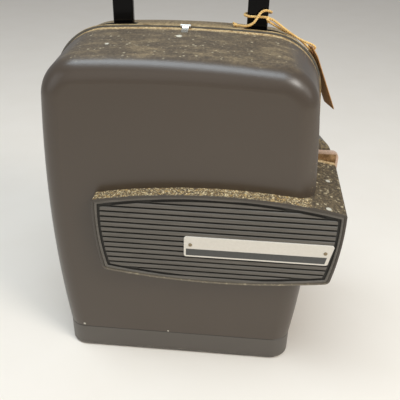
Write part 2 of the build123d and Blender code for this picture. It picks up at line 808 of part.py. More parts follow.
with BuildPart() as main_shaft:
    with BuildSketch(front_view(shutter_back - 1.0)):
        with Locations((main_x, beam_z)):
            Circle(shaft_radius)
    extrude(amount=-(gear_depth + gear_width + 3.0 - shutter_back + 1.0))
    extrude(spur_gear(main_x, beam_z, pinion_teeth, 0.0), amount=-gear_width)
finish(main_shaft, "main_shaft")

with BuildPart() as cup_shutter:
    with BuildSketch(front_view(shutter_front)):
        with Locations((main_x, beam_z)):
            Circle(shutter_radius)
            Circle(shutter_radius - shutter_sheet, mode=Mode.SUBTRACT)
            Rectangle(2 * shutter_radius, 13.0, mode=Mode.SUBTRACT)
    extrude(amount=-(shutter_back - shutter_front))
    with BuildSketch(front_view(shutter_back - 2.0)):
        with Locations((main_x, beam_z)):
            Circle(shutter_radius)
            Circle(shaft_radius, mode=Mode.SUBTRACT)
    extrude(amount=-2.0)
finish(cup_shutter, "cup_shutter")

def belt_pulley(x, z, radius):
    """Flanged pulley round a shaft."""
    with BuildPart() as pulley:
        with BuildSketch(front_view(belt_front - 1.2)):
            with Locations((x, z)):
                Circle(radius + 2.2)
        extrude(amount=-belt_width - 2.4)
        with BuildSketch(front_view(belt_front - 0.2)):
            with Locations((x, z)):
                Circle(radius + 5.0)
                Circle(radius, mode=Mode.SUBTRACT)
        extrude(amount=-belt_width - 0.4, mode=Mode.SUBTRACT)
        with BuildSketch(front_view(belt_front - 1.2)):
            with Locations((x, z)):
                Circle(shaft_radius)
        extrude(amount=-belt_width - 2.4, mode=Mode.SUBTRACT)
    return pulley


finish(belt_pulley(main_x, beam_z, main_pulley_radius), "main_pulley")
finish(belt_pulley(motor_x, motor_z, motor_pulley_radius), "motor_pulley")

with BuildPart() as drive_belt:
    for grow, mode in ((belt_slack + belt_thick, Mode.ADD), (belt_slack, Mode.SUBTRACT)):
        with BuildSketch(front_view(belt_front)):
            with Locations((main_x, beam_z)):
                Circle(main_pulley_radius + grow)
            with Locations((motor_x, motor_z)):
                Circle(motor_pulley_radius + grow)
            make_hull()
        extrude(amount=-belt_width, mode=mode)
finish(drive_belt, "drive_belt")

# Sprockets, each on a shaft with its own gear behind the plate
sprocket_radius = 9.0
film_teeth = 16
for name, z in sprocket_spots.items():
    with BuildPart() as sprocket:
        with BuildSketch(front_view(sprocket_front)):
            with Locations((main_x, z)):
                Circle(sprocket_radius + 1.5)
        extrude(amount=-1.5)
        with BuildSketch(front_view(sprocket_front)):
            with Locations((main_x, z)):
                Circle(sprocket_radius - 1.5)
        extrude(amount=-sprocket_width)
        with BuildSketch(front_view(sprocket_front + sprocket_width - 3.0)):
            with Locations((main_x, z)):
                Circle(sprocket_radius)
                with PolarLocations(0, film_teeth):
                    Rectangle(sprocket_radius + 1.1, 1.2, align=(Align.MIN, Align.CENTER))
        extrude(amount=-2.0)
        with BuildSketch(front_view(sprocket_front - 3.0)):
            with Locations((main_x, z)):
                Circle(shaft_radius)
        extrude(amount=-(gear_depth + gear_width + 2.0 - sprocket_front + 3.0))
        chamfer(sprocket.edges().sort_by(Axis.Y)[0], 0.6)
    finish(sprocket, f"{name}_sprocket")

    with BuildPart() as sprocket_gear:
        half_step = 180 / sprocket_teeth
        extrude(spur_gear(main_x, z, sprocket_teeth, half_step), amount=-gear_width)
        with BuildSketch(front_view(gear_depth)):
            with Locations((main_x, z)):
                Circle(shaft_radius)
                with PolarLocations(24.0, 5, start_angle=18):
                    Circle(7.0)
        extrude(amount=-gear_width, mode=Mode.SUBTRACT)
    finish(sprocket_gear, f"{name}_sprocket_gear")

# Motor behind the plate, its shaft through to the cooling fan in front
motor_radius = 28.0
motor_front = 101.0
motor_length = 29.0
pillar_spots = [(-21.0, -8.0), (0.0, -22.5), (21.0, -8.0)]
fan_radius = 23.0
fan_front = 54.5
fan_depth = 16.5
blade_count = 12
with BuildPart() as motor:
    with BuildSketch(front_view(motor_front)):
        with Locations((motor_x, motor_z)):
            Circle(motor_radius)
    extrude(amount=-motor_length)
    chamfer(motor.edges().filter_by(GeomType.CIRCLE), 2.0)
    with BuildSketch(front_view(motor_front)):
        with Locations((motor_x, motor_z)):
            Circle(shaft_radius + running_gap)
    extrude(amount=-8.0, mode=Mode.SUBTRACT)
    with BuildSketch(front_view(plate_back)):
        with Locations(*[(motor_x + x, motor_z + z) for x, z in pillar_spots]):
            Circle(3.0)
    extrude(amount=-(motor_front - plate_back))
finish(motor, "motor")

with BuildPart() as motor_shaft:
    with BuildSketch(front_view(fan_front - 2.0)):
        with Locations((motor_x, motor_z)):
            Circle(shaft_radius)
    extrude(amount=-(motor_front + 7.0 - fan_front + 2.0))
finish(motor_shaft, "motor_shaft")

with BuildPart() as fan_wheel:
    with BuildSketch(front_view(fan_front)):
        with Locations((motor_x, motor_z)):
            Circle(6.0)
            with PolarLocations(0, blade_count):
                with Locations(((fan_radius + 12.0) / 2, 0)):
                    Rectangle(fan_radius - 12.0, 1.2, rotation=35)
    extrude(amount=-fan_depth)
    with BuildSketch(front_view(fan_front + fan_depth - 1.5)):
        with Locations((motor_x, motor_z)):
            Circle(fan_radius + 0.5)
    extrude(amount=-1.5)
    with BuildSketch(front_view(fan_front)):
        with Locations((motor_x, motor_z)):
            Circle(shaft_radius)
    extrude(amount=-fan_depth, mode=Mode.SUBTRACT)
finish(fan_wheel, "fan_wheel")

# Blower: a round housing open to the front, with a duct up to the lamp house
blower_front = 51.5
blower_radius = 27.0
sheet = 1.2
duct_left = case_x + 25.0
duct_right = case_x + 46.8
house_low = 96.0
with BuildPart() as blower_housing:
    for inset, front, mode in ((0.0, blower_front, Mode.ADD),
                               (sheet, blower_front + sheet, Mode.SUBTRACT)):
        with BuildSketch(front_view(front)):
            with Locations((motor_x, motor_z)):
                Circle(blower_radius - inset)
            with Locations(((duct_left + duct_right) / 2, motor_z)):
                duct = (duct_right - duct_left - 2 * inset, house_low - motor_z)
                Rectangle(*duct, align=(Align.CENTER, Align.MIN))
        extrude(amount=-(plate_front - front), mode=mode)
    with BuildSketch(front_view(blower_front)):
        with Locations((motor_x, motor_z)):
            Circle(16.0)
    extrude(amount=-sheet, mode=Mode.SUBTRACT)
finish(blower_housing, "blower_housing")

# Lamp house: a sheet box on the plate, open below and vented above
house_left = case_x + 24.0
house_right = case_x + 54.0
house_front = 14.0
house_high = 206.0
house_mid = (house_left + house_right) / 2
with BuildPart() as lamp_house:
    with Locations((house_mid, face_y + plate_front, house_low)):
        house = (house_right - house_left, plate_front - house_front, house_high - house_low)
        Box(*house, align=(Align.CENTER, Align.MAX, Align.MIN))
        inside = (house[0] - 2 * sheet, house[1] - sheet, house[2] - sheet)
        Box(*inside, align=(Align.CENTER, Align.MAX, Align.MIN), mode=Mode.SUBTRACT)
    with Locations(*[(house_mid, face_y + 22.0 + 10.0 * row, house_high) for row in range(5)]):
        Box(20.0, 4.0, 6.0, mode=Mode.SUBTRACT)
    with Locations(*[(house_left, face_y + 46.0, 176.0 + 7.0 * row) for row in range(4)]):
        Box(6.0, 44.0, 3.0, mode=Mode.SUBTRACT)
    with Locations((house_right, beam_y, beam_z)):
        Cylinder(10.5, 6.0, rotation=(0, 90, 0), mode=Mode.SUBTRACT)
finish(lamp_house, "lamp_house")

# Lamp with its cap, holder, mirror and condenser
lamp_x = case_x + 38.8
lamp_radius = 7.5
cap_low = 112.0
glass_low = 124.0
with BuildPart() as projector_lamp:
    with Locations((lamp_x, beam_y, glass_low)):
        Cylinder(lamp_radius, 44.0, align=(Align.CENTER, Align.CENTER, Align.MIN))
    fillet(projector_lamp.faces().sort_by(Axis.Z)[-1].edges(), 6.5)
finish(projector_lamp, "projector_lamp")

with BuildPart() as lamp_cap:
    with Locations((lamp_x, beam_y, cap_low)):
        Cylinder(8.0, glass_low - cap_low, align=(Align.CENTER, Align.CENTER, Align.MIN))
    with Locations((lamp_x, beam_y, cap_low + 7.0)):
        Cylinder(9.6, 1.2, align=(Align.CENTER, Align.CENTER, Align.MIN))
finish(lamp_cap, "lamp_cap")

with BuildPart() as lamp_holder:
    with Locations((lamp_x, beam_y, house_low + 5.0)):
        Cylinder(11.0, 18.0, align=(Align.CENTER, Align.CENTER, Align.MIN))
    with Locations((lamp_x, beam_y, house_low + 5.0)):
        arm = (14.0, face_y + plate_front - beam_y, 6.0)
        Box(*arm, align=(Align.CENTER, Align.MIN, Align.MIN))
    with Locations((lamp_x, beam_y, cap_low)):
        Cylinder(8.0, 30.0, align=(Align.CENTER, Align.CENTER, Align.MIN), mode=Mode.SUBTRACT)
    with Locations((lamp_x, beam_y, cap_low + 7.0)):
        Cylinder(9.6, 30.0, align=(Align.CENTER, Align.CENTER, Align.MIN), mode=Mode.SUBTRACT)
finish(lamp_holder, "lamp_holder")

mirror_radius = 22.0
with BuildPart() as lamp_mirror:
    with Locations((case_x + 49.0, beam_y, beam_z)):
        Sphere(mirror_radius)
        Sphere(mirror_radius - 1.0, mode=Mode.SUBTRACT)
    with Locations((case_x + 30.5, beam_y, beam_z)):
        Box(60.0, 60.0, 60.0, align=(Align.MIN, Align.CENTER, Align.CENTER), mode=Mode.SUBTRACT)
    with Locations((house_left + sheet, beam_y, beam_z)):
        Cylinder(4.0, 2.4, rotation=(0, 90, 0), align=(Align.CENTER, Align.CENTER, Align.MIN))
finish(lamp_mirror, "lamp_mirror")

with BuildPart() as condenser_lens:
    with Locations((case_x + 67.0, beam_y, beam_z)):
        Sphere(20.0)
    with Locations((house_right - sheet, beam_y, beam_z)):
        Cylinder(12.5, 8.0, rotation=(0, -90, 0),
                 align=(Align.CENTER, Align.CENTER, Align.MIN), mode=Mode.INTERSECT)
finish(condenser_lens, "condenser_lens")

# Film gate with its aperture, and the plate that presses the film against it
gate_x = case_x + 81.5
gate_thick = 2.0
with BuildPart() as film_gate:
    with Locations((gate_x, face_y + plate_front, beam_z)):
        Box(gate_thick, plate_front - 34.0, 52.0, align=(Align.MIN, Align.MAX, Align.CENTER))
        Box(9.0, 2.0, 52.0, align=(Align.MIN, Align.MAX, Align.CENTER))
    with Locations((gate_x, beam_y, beam_z)):
        Box(8.0, 6.0, 5.0, mode=Mode.SUBTRACT)
    with Locations((gate_x, face_y + 46.6, claw_z)):
        Box(8.0, 3.2, 8.0, mode=Mode.SUBTRACT)
finish(film_gate, "film_gate")

press_x = gate_x + gate_thick + 0.6
with BuildPart() as pressure_plate:
    with Locations((press_x, beam_y, beam_z)):
        Box(1.8, 16.0, 40.0, align=(Align.MIN, Align.CENTER, Align.CENTER))
        Box(8.0, 6.0, 5.0, mode=Mode.SUBTRACT)
    with Locations(*[(press_x + 1.8, beam_y, beam_z + side * 16.5) for side in (-1, 1)]):
        Box(5.0, 4.0, 1.2, align=(Align.MIN, Align.CENTER, Align.CENTER))
finish(pressure_plate, "pressure_plate")

# Lens in its holder, focused by a roller under the barrel
holder_left = case_x + 92.0
holder_long = 16.0
barrel_left = case_x + 90.0
barrel_long = 36.0
barrel_radius = 13.0
focus_x = case_x + 100.0
focus_z = 129.6
roller_radius = 5.0
knob_radius = 9.0
focus_steps = ((knob_radius, 12.0, 24.0), (stem_radius, 24.0, 58.0), (roller_radius, 36.0, 48.0))
with BuildPart() as lens_holder:
    with Locations((holder_left, beam_y, beam_z)):
        Cylinder(16.2, holder_long, rotation=(0, 90, 0),
                 align=(Align.CENTER, Align.CENTER, Align.MIN))
        arm = (holder_long, face_y + plate_front - beam_y, 12.0)
        Box(*arm, align=(Align.MIN, Align.MIN, Align.CENTER))
    for depth in (27.5, 49.0):
        with Locations((focus_x, face_y + depth, focus_z - 5.0)):
            Box(12.0, 7.5, 16.0, align=(Align.CENTER, Align.MIN, Align.MIN))
    with Locations((holder_left - 5.0, beam_y, beam_z)):
        Cylinder(barrel_radius + 0.06, holder_long + 10.0, rotation=(0, 90, 0),
                 align=(Align.CENTER, Align.CENTER, Align.MIN), mode=Mode.SUBTRACT)
    with Locations((focus_x, face_y + 42.0, focus_z)):
        Box(12.4, 13.4, 12.0, mode=Mode.SUBTRACT)
        Cylinder(stem_radius + running_gap, 60.0, rotation=(90, 0, 0), mode=Mode.SUBTRACT)
finish(lens_holder, "lens_holder")

with BuildPart() as lens_barrel:
    with Locations((barrel_left, beam_y, beam_z)):
        Cylinder(barrel_radius, barrel_long, rotation=(0, 90, 0),
                 align=(Align.CENTER, Align.CENTER, Align.MIN))
        Cylinder(barrel_radius - 2.5, barrel_long, rotation=(0, 90, 0),
                 align=(Align.CENTER, Align.CENTER, Align.MIN), mode=Mode.SUBTRACT)
    chamfer(lens_barrel.edges().sort_by(Axis.X)[-2:], 0.8)
finish(lens_barrel, "lens_barrel")

lens_thick = 5.0
lens_radius = barrel_radius - 2.5
for name, x in (("rear_lens", barrel_left + 3.0), ("front_lens", barrel_left + 28.0)):
    with BuildPart() as lens:
        with Locations((x, beam_y, beam_z)):
            Cylinder(lens_radius, lens_thick, rotation=(0, 90, 0),
                     align=(Align.CENTER, Align.CENTER, Align.MIN))
        fillet(lens.faces().sort_by(Axis.X)[-1].edges(), 2.4)
    finish(lens, name)

with BuildPart() as focus_knob:
    for radius, front, back in focus_steps:
        with BuildSketch(front_view(front)):
            with Locations((focus_x, focus_z)):
                Circle(radius)
        extrude(amount=-(back - front))
    with BuildSketch(front_view(focus_steps[0][1])):
        with Locations((focus_x, focus_z)):
            with PolarLocations(knob_radius, 18):
                Circle(0.6)
    extrude(amount=-8.0, mode=Mode.SUBTRACT)
finish(focus_knob, "focus_knob")

# Claw that pulls the film down, sliding in the plate's guide
with BuildPart() as film_claw:
    with Locations((claw_x, face_y + 46.0, claw_z)):
        Box(claw_thick, 36.6, 4.0, align=(Align.CENTER, Align.MIN, Align.CENTER))
        reach = gate_x + gate_thick + 0.4 - claw_x
        Box(reach, 1.2, 2.0, align=(Align.MIN, Align.MIN, Align.CENTER))
finish(film_claw, "film_claw")

# Film rollers, turning on the plate's posts
for name, (x, z) in roller_spots.items():
    with BuildPart() as roller:
        with BuildSketch(front_view(sprocket_front)):
            with Locations((x, z)):
                Circle(5.5)
        extrude(amount=-sprocket_width)
        with BuildSketch(front_view(sprocket_front + 1.5)):
            with Locations((x, z)):
                Circle(7.0)
                Circle(4.6, mode=Mode.SUBTRACT)
        extrude(amount=-(sprocket_width - 3.0), mode=Mode.SUBTRACT)
        with BuildSketch(front_view(sprocket_front)):
            with Locations((x, z)):
                Circle(stem_radius + running_gap)
        extrude(amount=-sprocket_width, mode=Mode.SUBTRACT)
    finish(roller, f"{name}_film_roller")

# Controls on the plate: run knob and lamp switch
with BuildPart() as mode_knob:
    for radius, front, back in ((10.0, 56.0, 68.0), (shaft_radius, 68.0, 84.5)):
        with BuildSketch(front_view(front)):
            with Locations((mode_x, mode_z)):
                Circle(radius)
        extrude(amount=-(back - front))
    with Locations((mode_x, face_y + 56.0, mode_z)):
        Box(3.6, 5.0, 19.0, align=(Align.CENTER, Align.MAX, Align.CENTER))
finish(mode_knob, "mode_knob")

switch_x = case_x + 86.0
switch_z = 56.0
switch_y = face_y + 66.0
with BuildPart() as switch_frame:
    with Locations((switch_x, face_y + plate_front, switch_z)):
        Box(20.0, 13.0, 28.0, align=(Align.CENTER, Align.MAX, Align.CENTER))
        Box(12.8, 30.0, 20.8, mode=Mode.SUBTRACT)
    with Locations(*[(switch_x + side * 6.9, switch_y, switch_z) for side in (-1, 1)]):
        Cylinder(1.2, 2.2, rotation=(0, 90, 0))
finish(switch_frame, "switch_frame")

with BuildPart() as lamp_switch:
    with BuildSketch(Plane.YZ.offset(switch_x - 6.0)):
        with BuildLine():
            Polyline(
                (switch_y - 4.0, switch_z + 9.0),
                (switch_y + 5.0, switch_z + 8.0),
                (switch_y + 5.0, switch_z - 8.0),
                (switch_y - 4.0, switch_z - 9.0),
                (switch_y - 2.4, switch_z),
                close=True,
            )
        make_face()
        with Locations((switch_y, switch_z)):
            Circle(1.2 + running_gap, mode=Mode.SUBTRACT)
    extrude(amount=12.0)
finish(lamp_switch, "lamp_switch")

# Card tag on a string that is looped round the right leg. The route is measured
# from the case's middle and its face, and runs from one end, over the plate's rim,
# once round the leg, to the tag, and back to a knot beside the leg.
string_thick = 1.8
string_route = [
    (38.0, 93.0, 296.9),
    (42.6, 86.4, 298.2),
    (48.2, 80.6, 299.2),
    (53.4, 79.6, 301.4),
    (56.6, 81.6, 305.6),
    (59.0, 84.0, 309.8),
    (63.0, 85.7, 311.8),
    (67.6, 87.4, 310.2),
    (68.8, 92.4, 308.6),
    (65.6, 97.2, 307.6),
    (59.4, 98.2, 307.2),
    (52.6, 98.0, 306.8),
    (46.6, 95.4, 306.4),
    (46.0, 89.6, 306.1),
    (50.4, 86.2, 305.9),
    (56.6, 86.0, 305.9),
    (62.8, 85.9, 306.1),
    (68.8, 85.3, 305.0),
    (74.6, 84.8, 301.4),
    (80.8, 84.6, 297.0),
    (87.2, 85.2, 292.8),
    (93.4, 87.4, 288.8),
    (99.4, 90.0, 285.8),
    (105.0, 92.4, 283.6),
    (109.4, 95.0, 280.2),
    (106.7, 97.2, 277.0),
    (102.9, 98.6, 278.8),
    (97.6, 97.0, 284.2),
    (92.6, 93.6, 288.2),
    (87.2, 90.2, 291.4),
    (81.2, 87.8, 294.6),
    (75.0, 86.4, 297.8),
    (69.8, 85.6, 300.8),
    (65.6, 85.2, 303.0),
]


def bend_radii(route):
    """For each inner point of a route, the largest arc that its two runs leave room for."""
    radii = []
    for before, here, after in zip(route, route[1:], route[2:]):
        turn = (here - before).get_angle(after - here)
        shorter = min((here - before).length, (after - here).length)
        radii.append(0.45 * shorter / tan(radians(turn / 2)))
    return radii


route = [Vector(case_x + x, face_y + y, z) for x, y, z in string_route]
radii = bend_radii(route)
with BuildPart() as tag_string:
    with BuildLine() as path:
        FilletPolyline(*route, radius=radii)
    with BuildSketch(Plane(origin=path.line @ 0, z_dir=path.line % 0)):
        Circle(string_thick / 2)
    sweep()
finish(tag_string, "tag_string")
string_length = path.wire().length
section = pi * string_thick**2 / 4
print("string", round(string_length, 1), "least radius", round(min(radii), 2))
print("volume", round(tag_string.part.volume, 1), "of", round(section * string_length, 1))

tag_length = 58.0
tag_width = 27.0
tag_thick = 0.8
tag_corner = 7.0
tag_hole = 2.9
hole_inset = 4.2
tag_across = (-0.2, 0.976, -0.088)
tag_down = (0.402, 0.0, -0.916)
tag_top = Vector(case_x + 104.8, face_y + 96.6, 281.0)
with BuildPart() as hang_tag:
    with BuildSketch(Plane(origin=tag_top, x_dir=tag_down, z_dir=Vector(*tag_down).cross(Vector(*tag_across)))):
        with BuildLine():
            half = tag_width / 2
            Polyline(
                (0, half - tag_corner),
                (tag_corner, half),
                (tag_length, half),
                (tag_length, -half),
                (tag_corner, -half),
                (0, tag_corner - half),
                close=True,
            )
        make_face()
        with Locations((hole_inset, 0)):
            Circle(tag_hole, mode=Mode.SUBTRACT)
    extrude(amount=tag_thick / 2, both=True)
finish(hang_tag, "hang_tag")
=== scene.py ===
import json
import math

import bpy
from mathutils import Matrix, Vector


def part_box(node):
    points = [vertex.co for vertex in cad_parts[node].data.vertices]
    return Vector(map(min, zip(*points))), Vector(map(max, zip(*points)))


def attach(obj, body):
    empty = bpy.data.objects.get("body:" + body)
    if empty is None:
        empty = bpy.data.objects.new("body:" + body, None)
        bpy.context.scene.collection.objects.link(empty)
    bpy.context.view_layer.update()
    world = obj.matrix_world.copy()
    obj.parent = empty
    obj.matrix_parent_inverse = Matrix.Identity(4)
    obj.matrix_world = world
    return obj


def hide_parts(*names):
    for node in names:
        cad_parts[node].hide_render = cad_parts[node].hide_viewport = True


# A movie projector closed for carrying: satin brown-grey enamel, dusty on top, with
# a dark ribbed grille, a bare nameplate, a glossy handle and a card tag on a string.
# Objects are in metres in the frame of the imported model. Places on the object, in its
# finishes and along the string, are in millimetres from the middle of the case, its
# face and the table.

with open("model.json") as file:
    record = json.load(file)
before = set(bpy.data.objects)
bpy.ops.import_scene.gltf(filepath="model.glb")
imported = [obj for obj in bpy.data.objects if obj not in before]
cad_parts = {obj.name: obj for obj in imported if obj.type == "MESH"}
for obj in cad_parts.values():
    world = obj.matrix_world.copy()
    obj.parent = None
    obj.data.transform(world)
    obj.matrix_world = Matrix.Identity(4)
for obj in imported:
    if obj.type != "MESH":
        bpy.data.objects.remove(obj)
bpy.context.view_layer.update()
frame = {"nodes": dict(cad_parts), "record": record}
nodes = frame["nodes"]
MM = 0.001
tray_low, tray_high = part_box("base_tray")
case_x = (tray_low.x + tray_high.x) / 2
face_y = tray_low.y


def place(x, y, z):
    """Point given in millimetres from the case's middle, its face and the table."""
    return Vector((case_x + x * MM, face_y + y * MM, z * MM))


def srgb(red, green, blue):
    """Linear colour of a colour written as it looks on a screen, 0 to 255."""
    return tuple(((c / 255 + 0.055) / 1.055) ** 2.4 for c in (red, green, blue)) + (1.0,)


class Value:
    """Number or vector that varies over a surface; arithmetic on it adds Math nodes."""

    def __init__(self, finish, socket):
        self.finish = finish
        self.socket = socket

    def math(self, operation, *terms):
        """Math node of an operation on these terms."""
        return self.finish.add("ShaderNodeMath", {"operation": operation}, terms)

    def __add__(self, other):
        return self.math("ADD", self, other)

    def __sub__(self, other):
        return self.math("SUBTRACT", self, other)

    def __mul__(self, other):
        return self.math("MULTIPLY", self, other)

    def __truediv__(self, other):
        return self.math("DIVIDE", self, other)

    def __rsub__(self, other):
        return self.math("SUBTRACT", other, self)

    __radd__ = __add__
    __rmul__ = __mul__

    def size(self):
        """Value without its sign."""
        return self.math("ABSOLUTE", self)

    def most(self, other):
        """The larger of this and another value."""
        return self.math("MAXIMUM", self, other)

    def rise(self, low, high):
        """0 below low and 1 above high, smooth between; the other way round if low > high."""
        settings = {"interpolation_type": "SMOOTHSTEP"}
        to_low, to_high = (1.0, 0.0) if low > high else (0.0, 1.0)
        ends = [self, min(low, high), max(low, high), to_low, to_high]
        return self.finish.add("ShaderNodeMapRange", settings, ends)

    def within(self, low, high, soft):
        """1 between low and high, falling to 0 over soft outside them."""
        return self.rise(low - soft, low) * self.rise(high + soft, high)


class Finish:
    """One material: a Principled shader, and the nodes that feed it.

    Its colour and roughness are plain at first, and varied ones are set over them.
    """

    def __init__(self, name, colour, rough, **constants):
        self.material = bpy.data.materials.new(name)
        self.material.use_nodes = True
        self.material.diffuse_color = colour
        self.tree = self.material.node_tree
        self.shader = self.tree.nodes["Principled BSDF"]
        self.set("Base Color", colour)
        self.set("Roughness", rough)
        for socket, value in constants.items():
            self.set(socket.replace("_", " "), value)
        self.coordinates = self.add("ShaderNodeTexCoord", {}, {}, "Object")
        self.facing = Value(self, self.coordinates.socket.node.outputs["Normal"])

    def set(self, socket, value):
        """Give one of the shader's sockets a value."""
        self.feed(self.shader.inputs[socket], value)

    def feed(self, socket, value):
        """Link a Value to a socket, or write a plain number or colour in it."""
        if isinstance(value, Value):
            self.tree.links.new(value.socket, socket)
        else:
            socket.default_value = value

    def add(self, kind, settings, values, output=0):
        """Node of a kind with its settings, and values or links for its sockets."""
        node = self.tree.nodes.new(kind)
        for setting, value in settings.items():
            setattr(node, setting, value)
        pairs = values.items() if isinstance(values, dict) else enumerate(values)
        for socket, value in pairs:
            self.feed(node.inputs[socket], value)
        return Value(self, node.outputs[output])

    def axes(self, vector=None):
        """The three numbers of a vector."""
        split = self.add("ShaderNodeSeparateXYZ", {}, [vector or self.coordinates])
        return [Value(self, output) for output in split.socket.node.outputs]

    def stretched(self, *scale):
        """Coordinates scaled along each axis."""
        return self.add("ShaderNodeVectorMath", {"operation": "MULTIPLY"}, [self.coordinates, scale])

    def noise(self, scale, detail, rough=0.5, vector=None, shift=0.0):
        """Noise from 0 to 1, with scale in features a metre; a shift gives another pattern."""
        settings = {"noise_dimensions": "4D"}
        values = {"Vector": vector or self.coordinates, "Scale": scale, "Detail": detail,
                  "Roughness": rough, "W": shift}
        return self.add("ShaderNodeTexNoise", settings, values)

    def specks(self, spacing, radius, spread, shift):
        """Round specks of a radius, one to each cell of a spacing, in millimetres.

        Their rims blur over a spread, as a share of the radius each way.
        """
        jitter = self.add("ShaderNodeTexVoronoi", {"voronoi_dimensions": "4D"},
                          {"Vector": self.coordinates, "Scale": 1 / (spacing * MM), "W": shift,
                           "Randomness": 1.0})
        reach = radius / spacing
        return jitter.rise(reach * (1 + spread), reach * (1 - spread))

    def mix(self, first, second, amount):
        """Colour between two, by an amount from 0 to 1."""
        settings = {"data_type": "RGBA", "clamp_factor": True}
        factor_socket, first_socket, second_socket, colour_output = 0, 6, 7, 2
        values = {factor_socket: amount, first_socket: first, second_socket: second}
        return self.add("ShaderNodeMix", settings, values, colour_output)

    def bump(self, height, distance, strength, before=None):
        """Normal raised by a height from 0 to 1, with distance in millimetres."""
        values = {"Height": height, "Distance": distance * MM, "Strength": strength}
        if before:
            values["Normal"] = before
        return self.add("ShaderNodeBump", {}, values)

    def millimetres(self):
        """Place on the object: millimetres from the case's middle, its face and the table."""
        x, y, z = self.axes()
        return (x - case_x) / MM, (y - face_y) / MM, z / MM

    def spot(self, centre, radius):
        """1 within a radius of a point given in millimetres, soft at its rim."""
        away = self.add("ShaderNodeVectorMath", {"operation": "DISTANCE"},
                        {0: self.coordinates, 1: tuple(place(*centre))}, "Value")
        ragged = away / MM + (self.noise(900.0, 2.0) - 0.5) * radius
        return ragged.rise(radius * 1.2, radius * 0.8)


def tinted(colour, share, lift=0.0):
    """Colour made darker or lighter by a share, and lifted by a little."""
    return tuple(min(1.0, c * share + lift) for c in colour[:3]) + (1.0,)


# Enamelled case

def enamel_base(name, colour, rough):
    """Satin enamel with slow shade changes and the fine texture of sprayed paint."""
    finish = Finish(name, colour, rough, Specular_IOR_Level=0.7)
    cloud = finish.noise(9.0, 3.0)
    fine = finish.noise(2600.0, 2.0, 0.6)
    shade = finish.mix(tinted(colour, 0.82), tinted(colour, 1.12), cloud * 0.7 + fine * 0.3)
    texture = finish.bump(finish.noise(1500.0, 3.0, 0.55), 0.02, 0.5)
    return finish, shade, cloud, texture


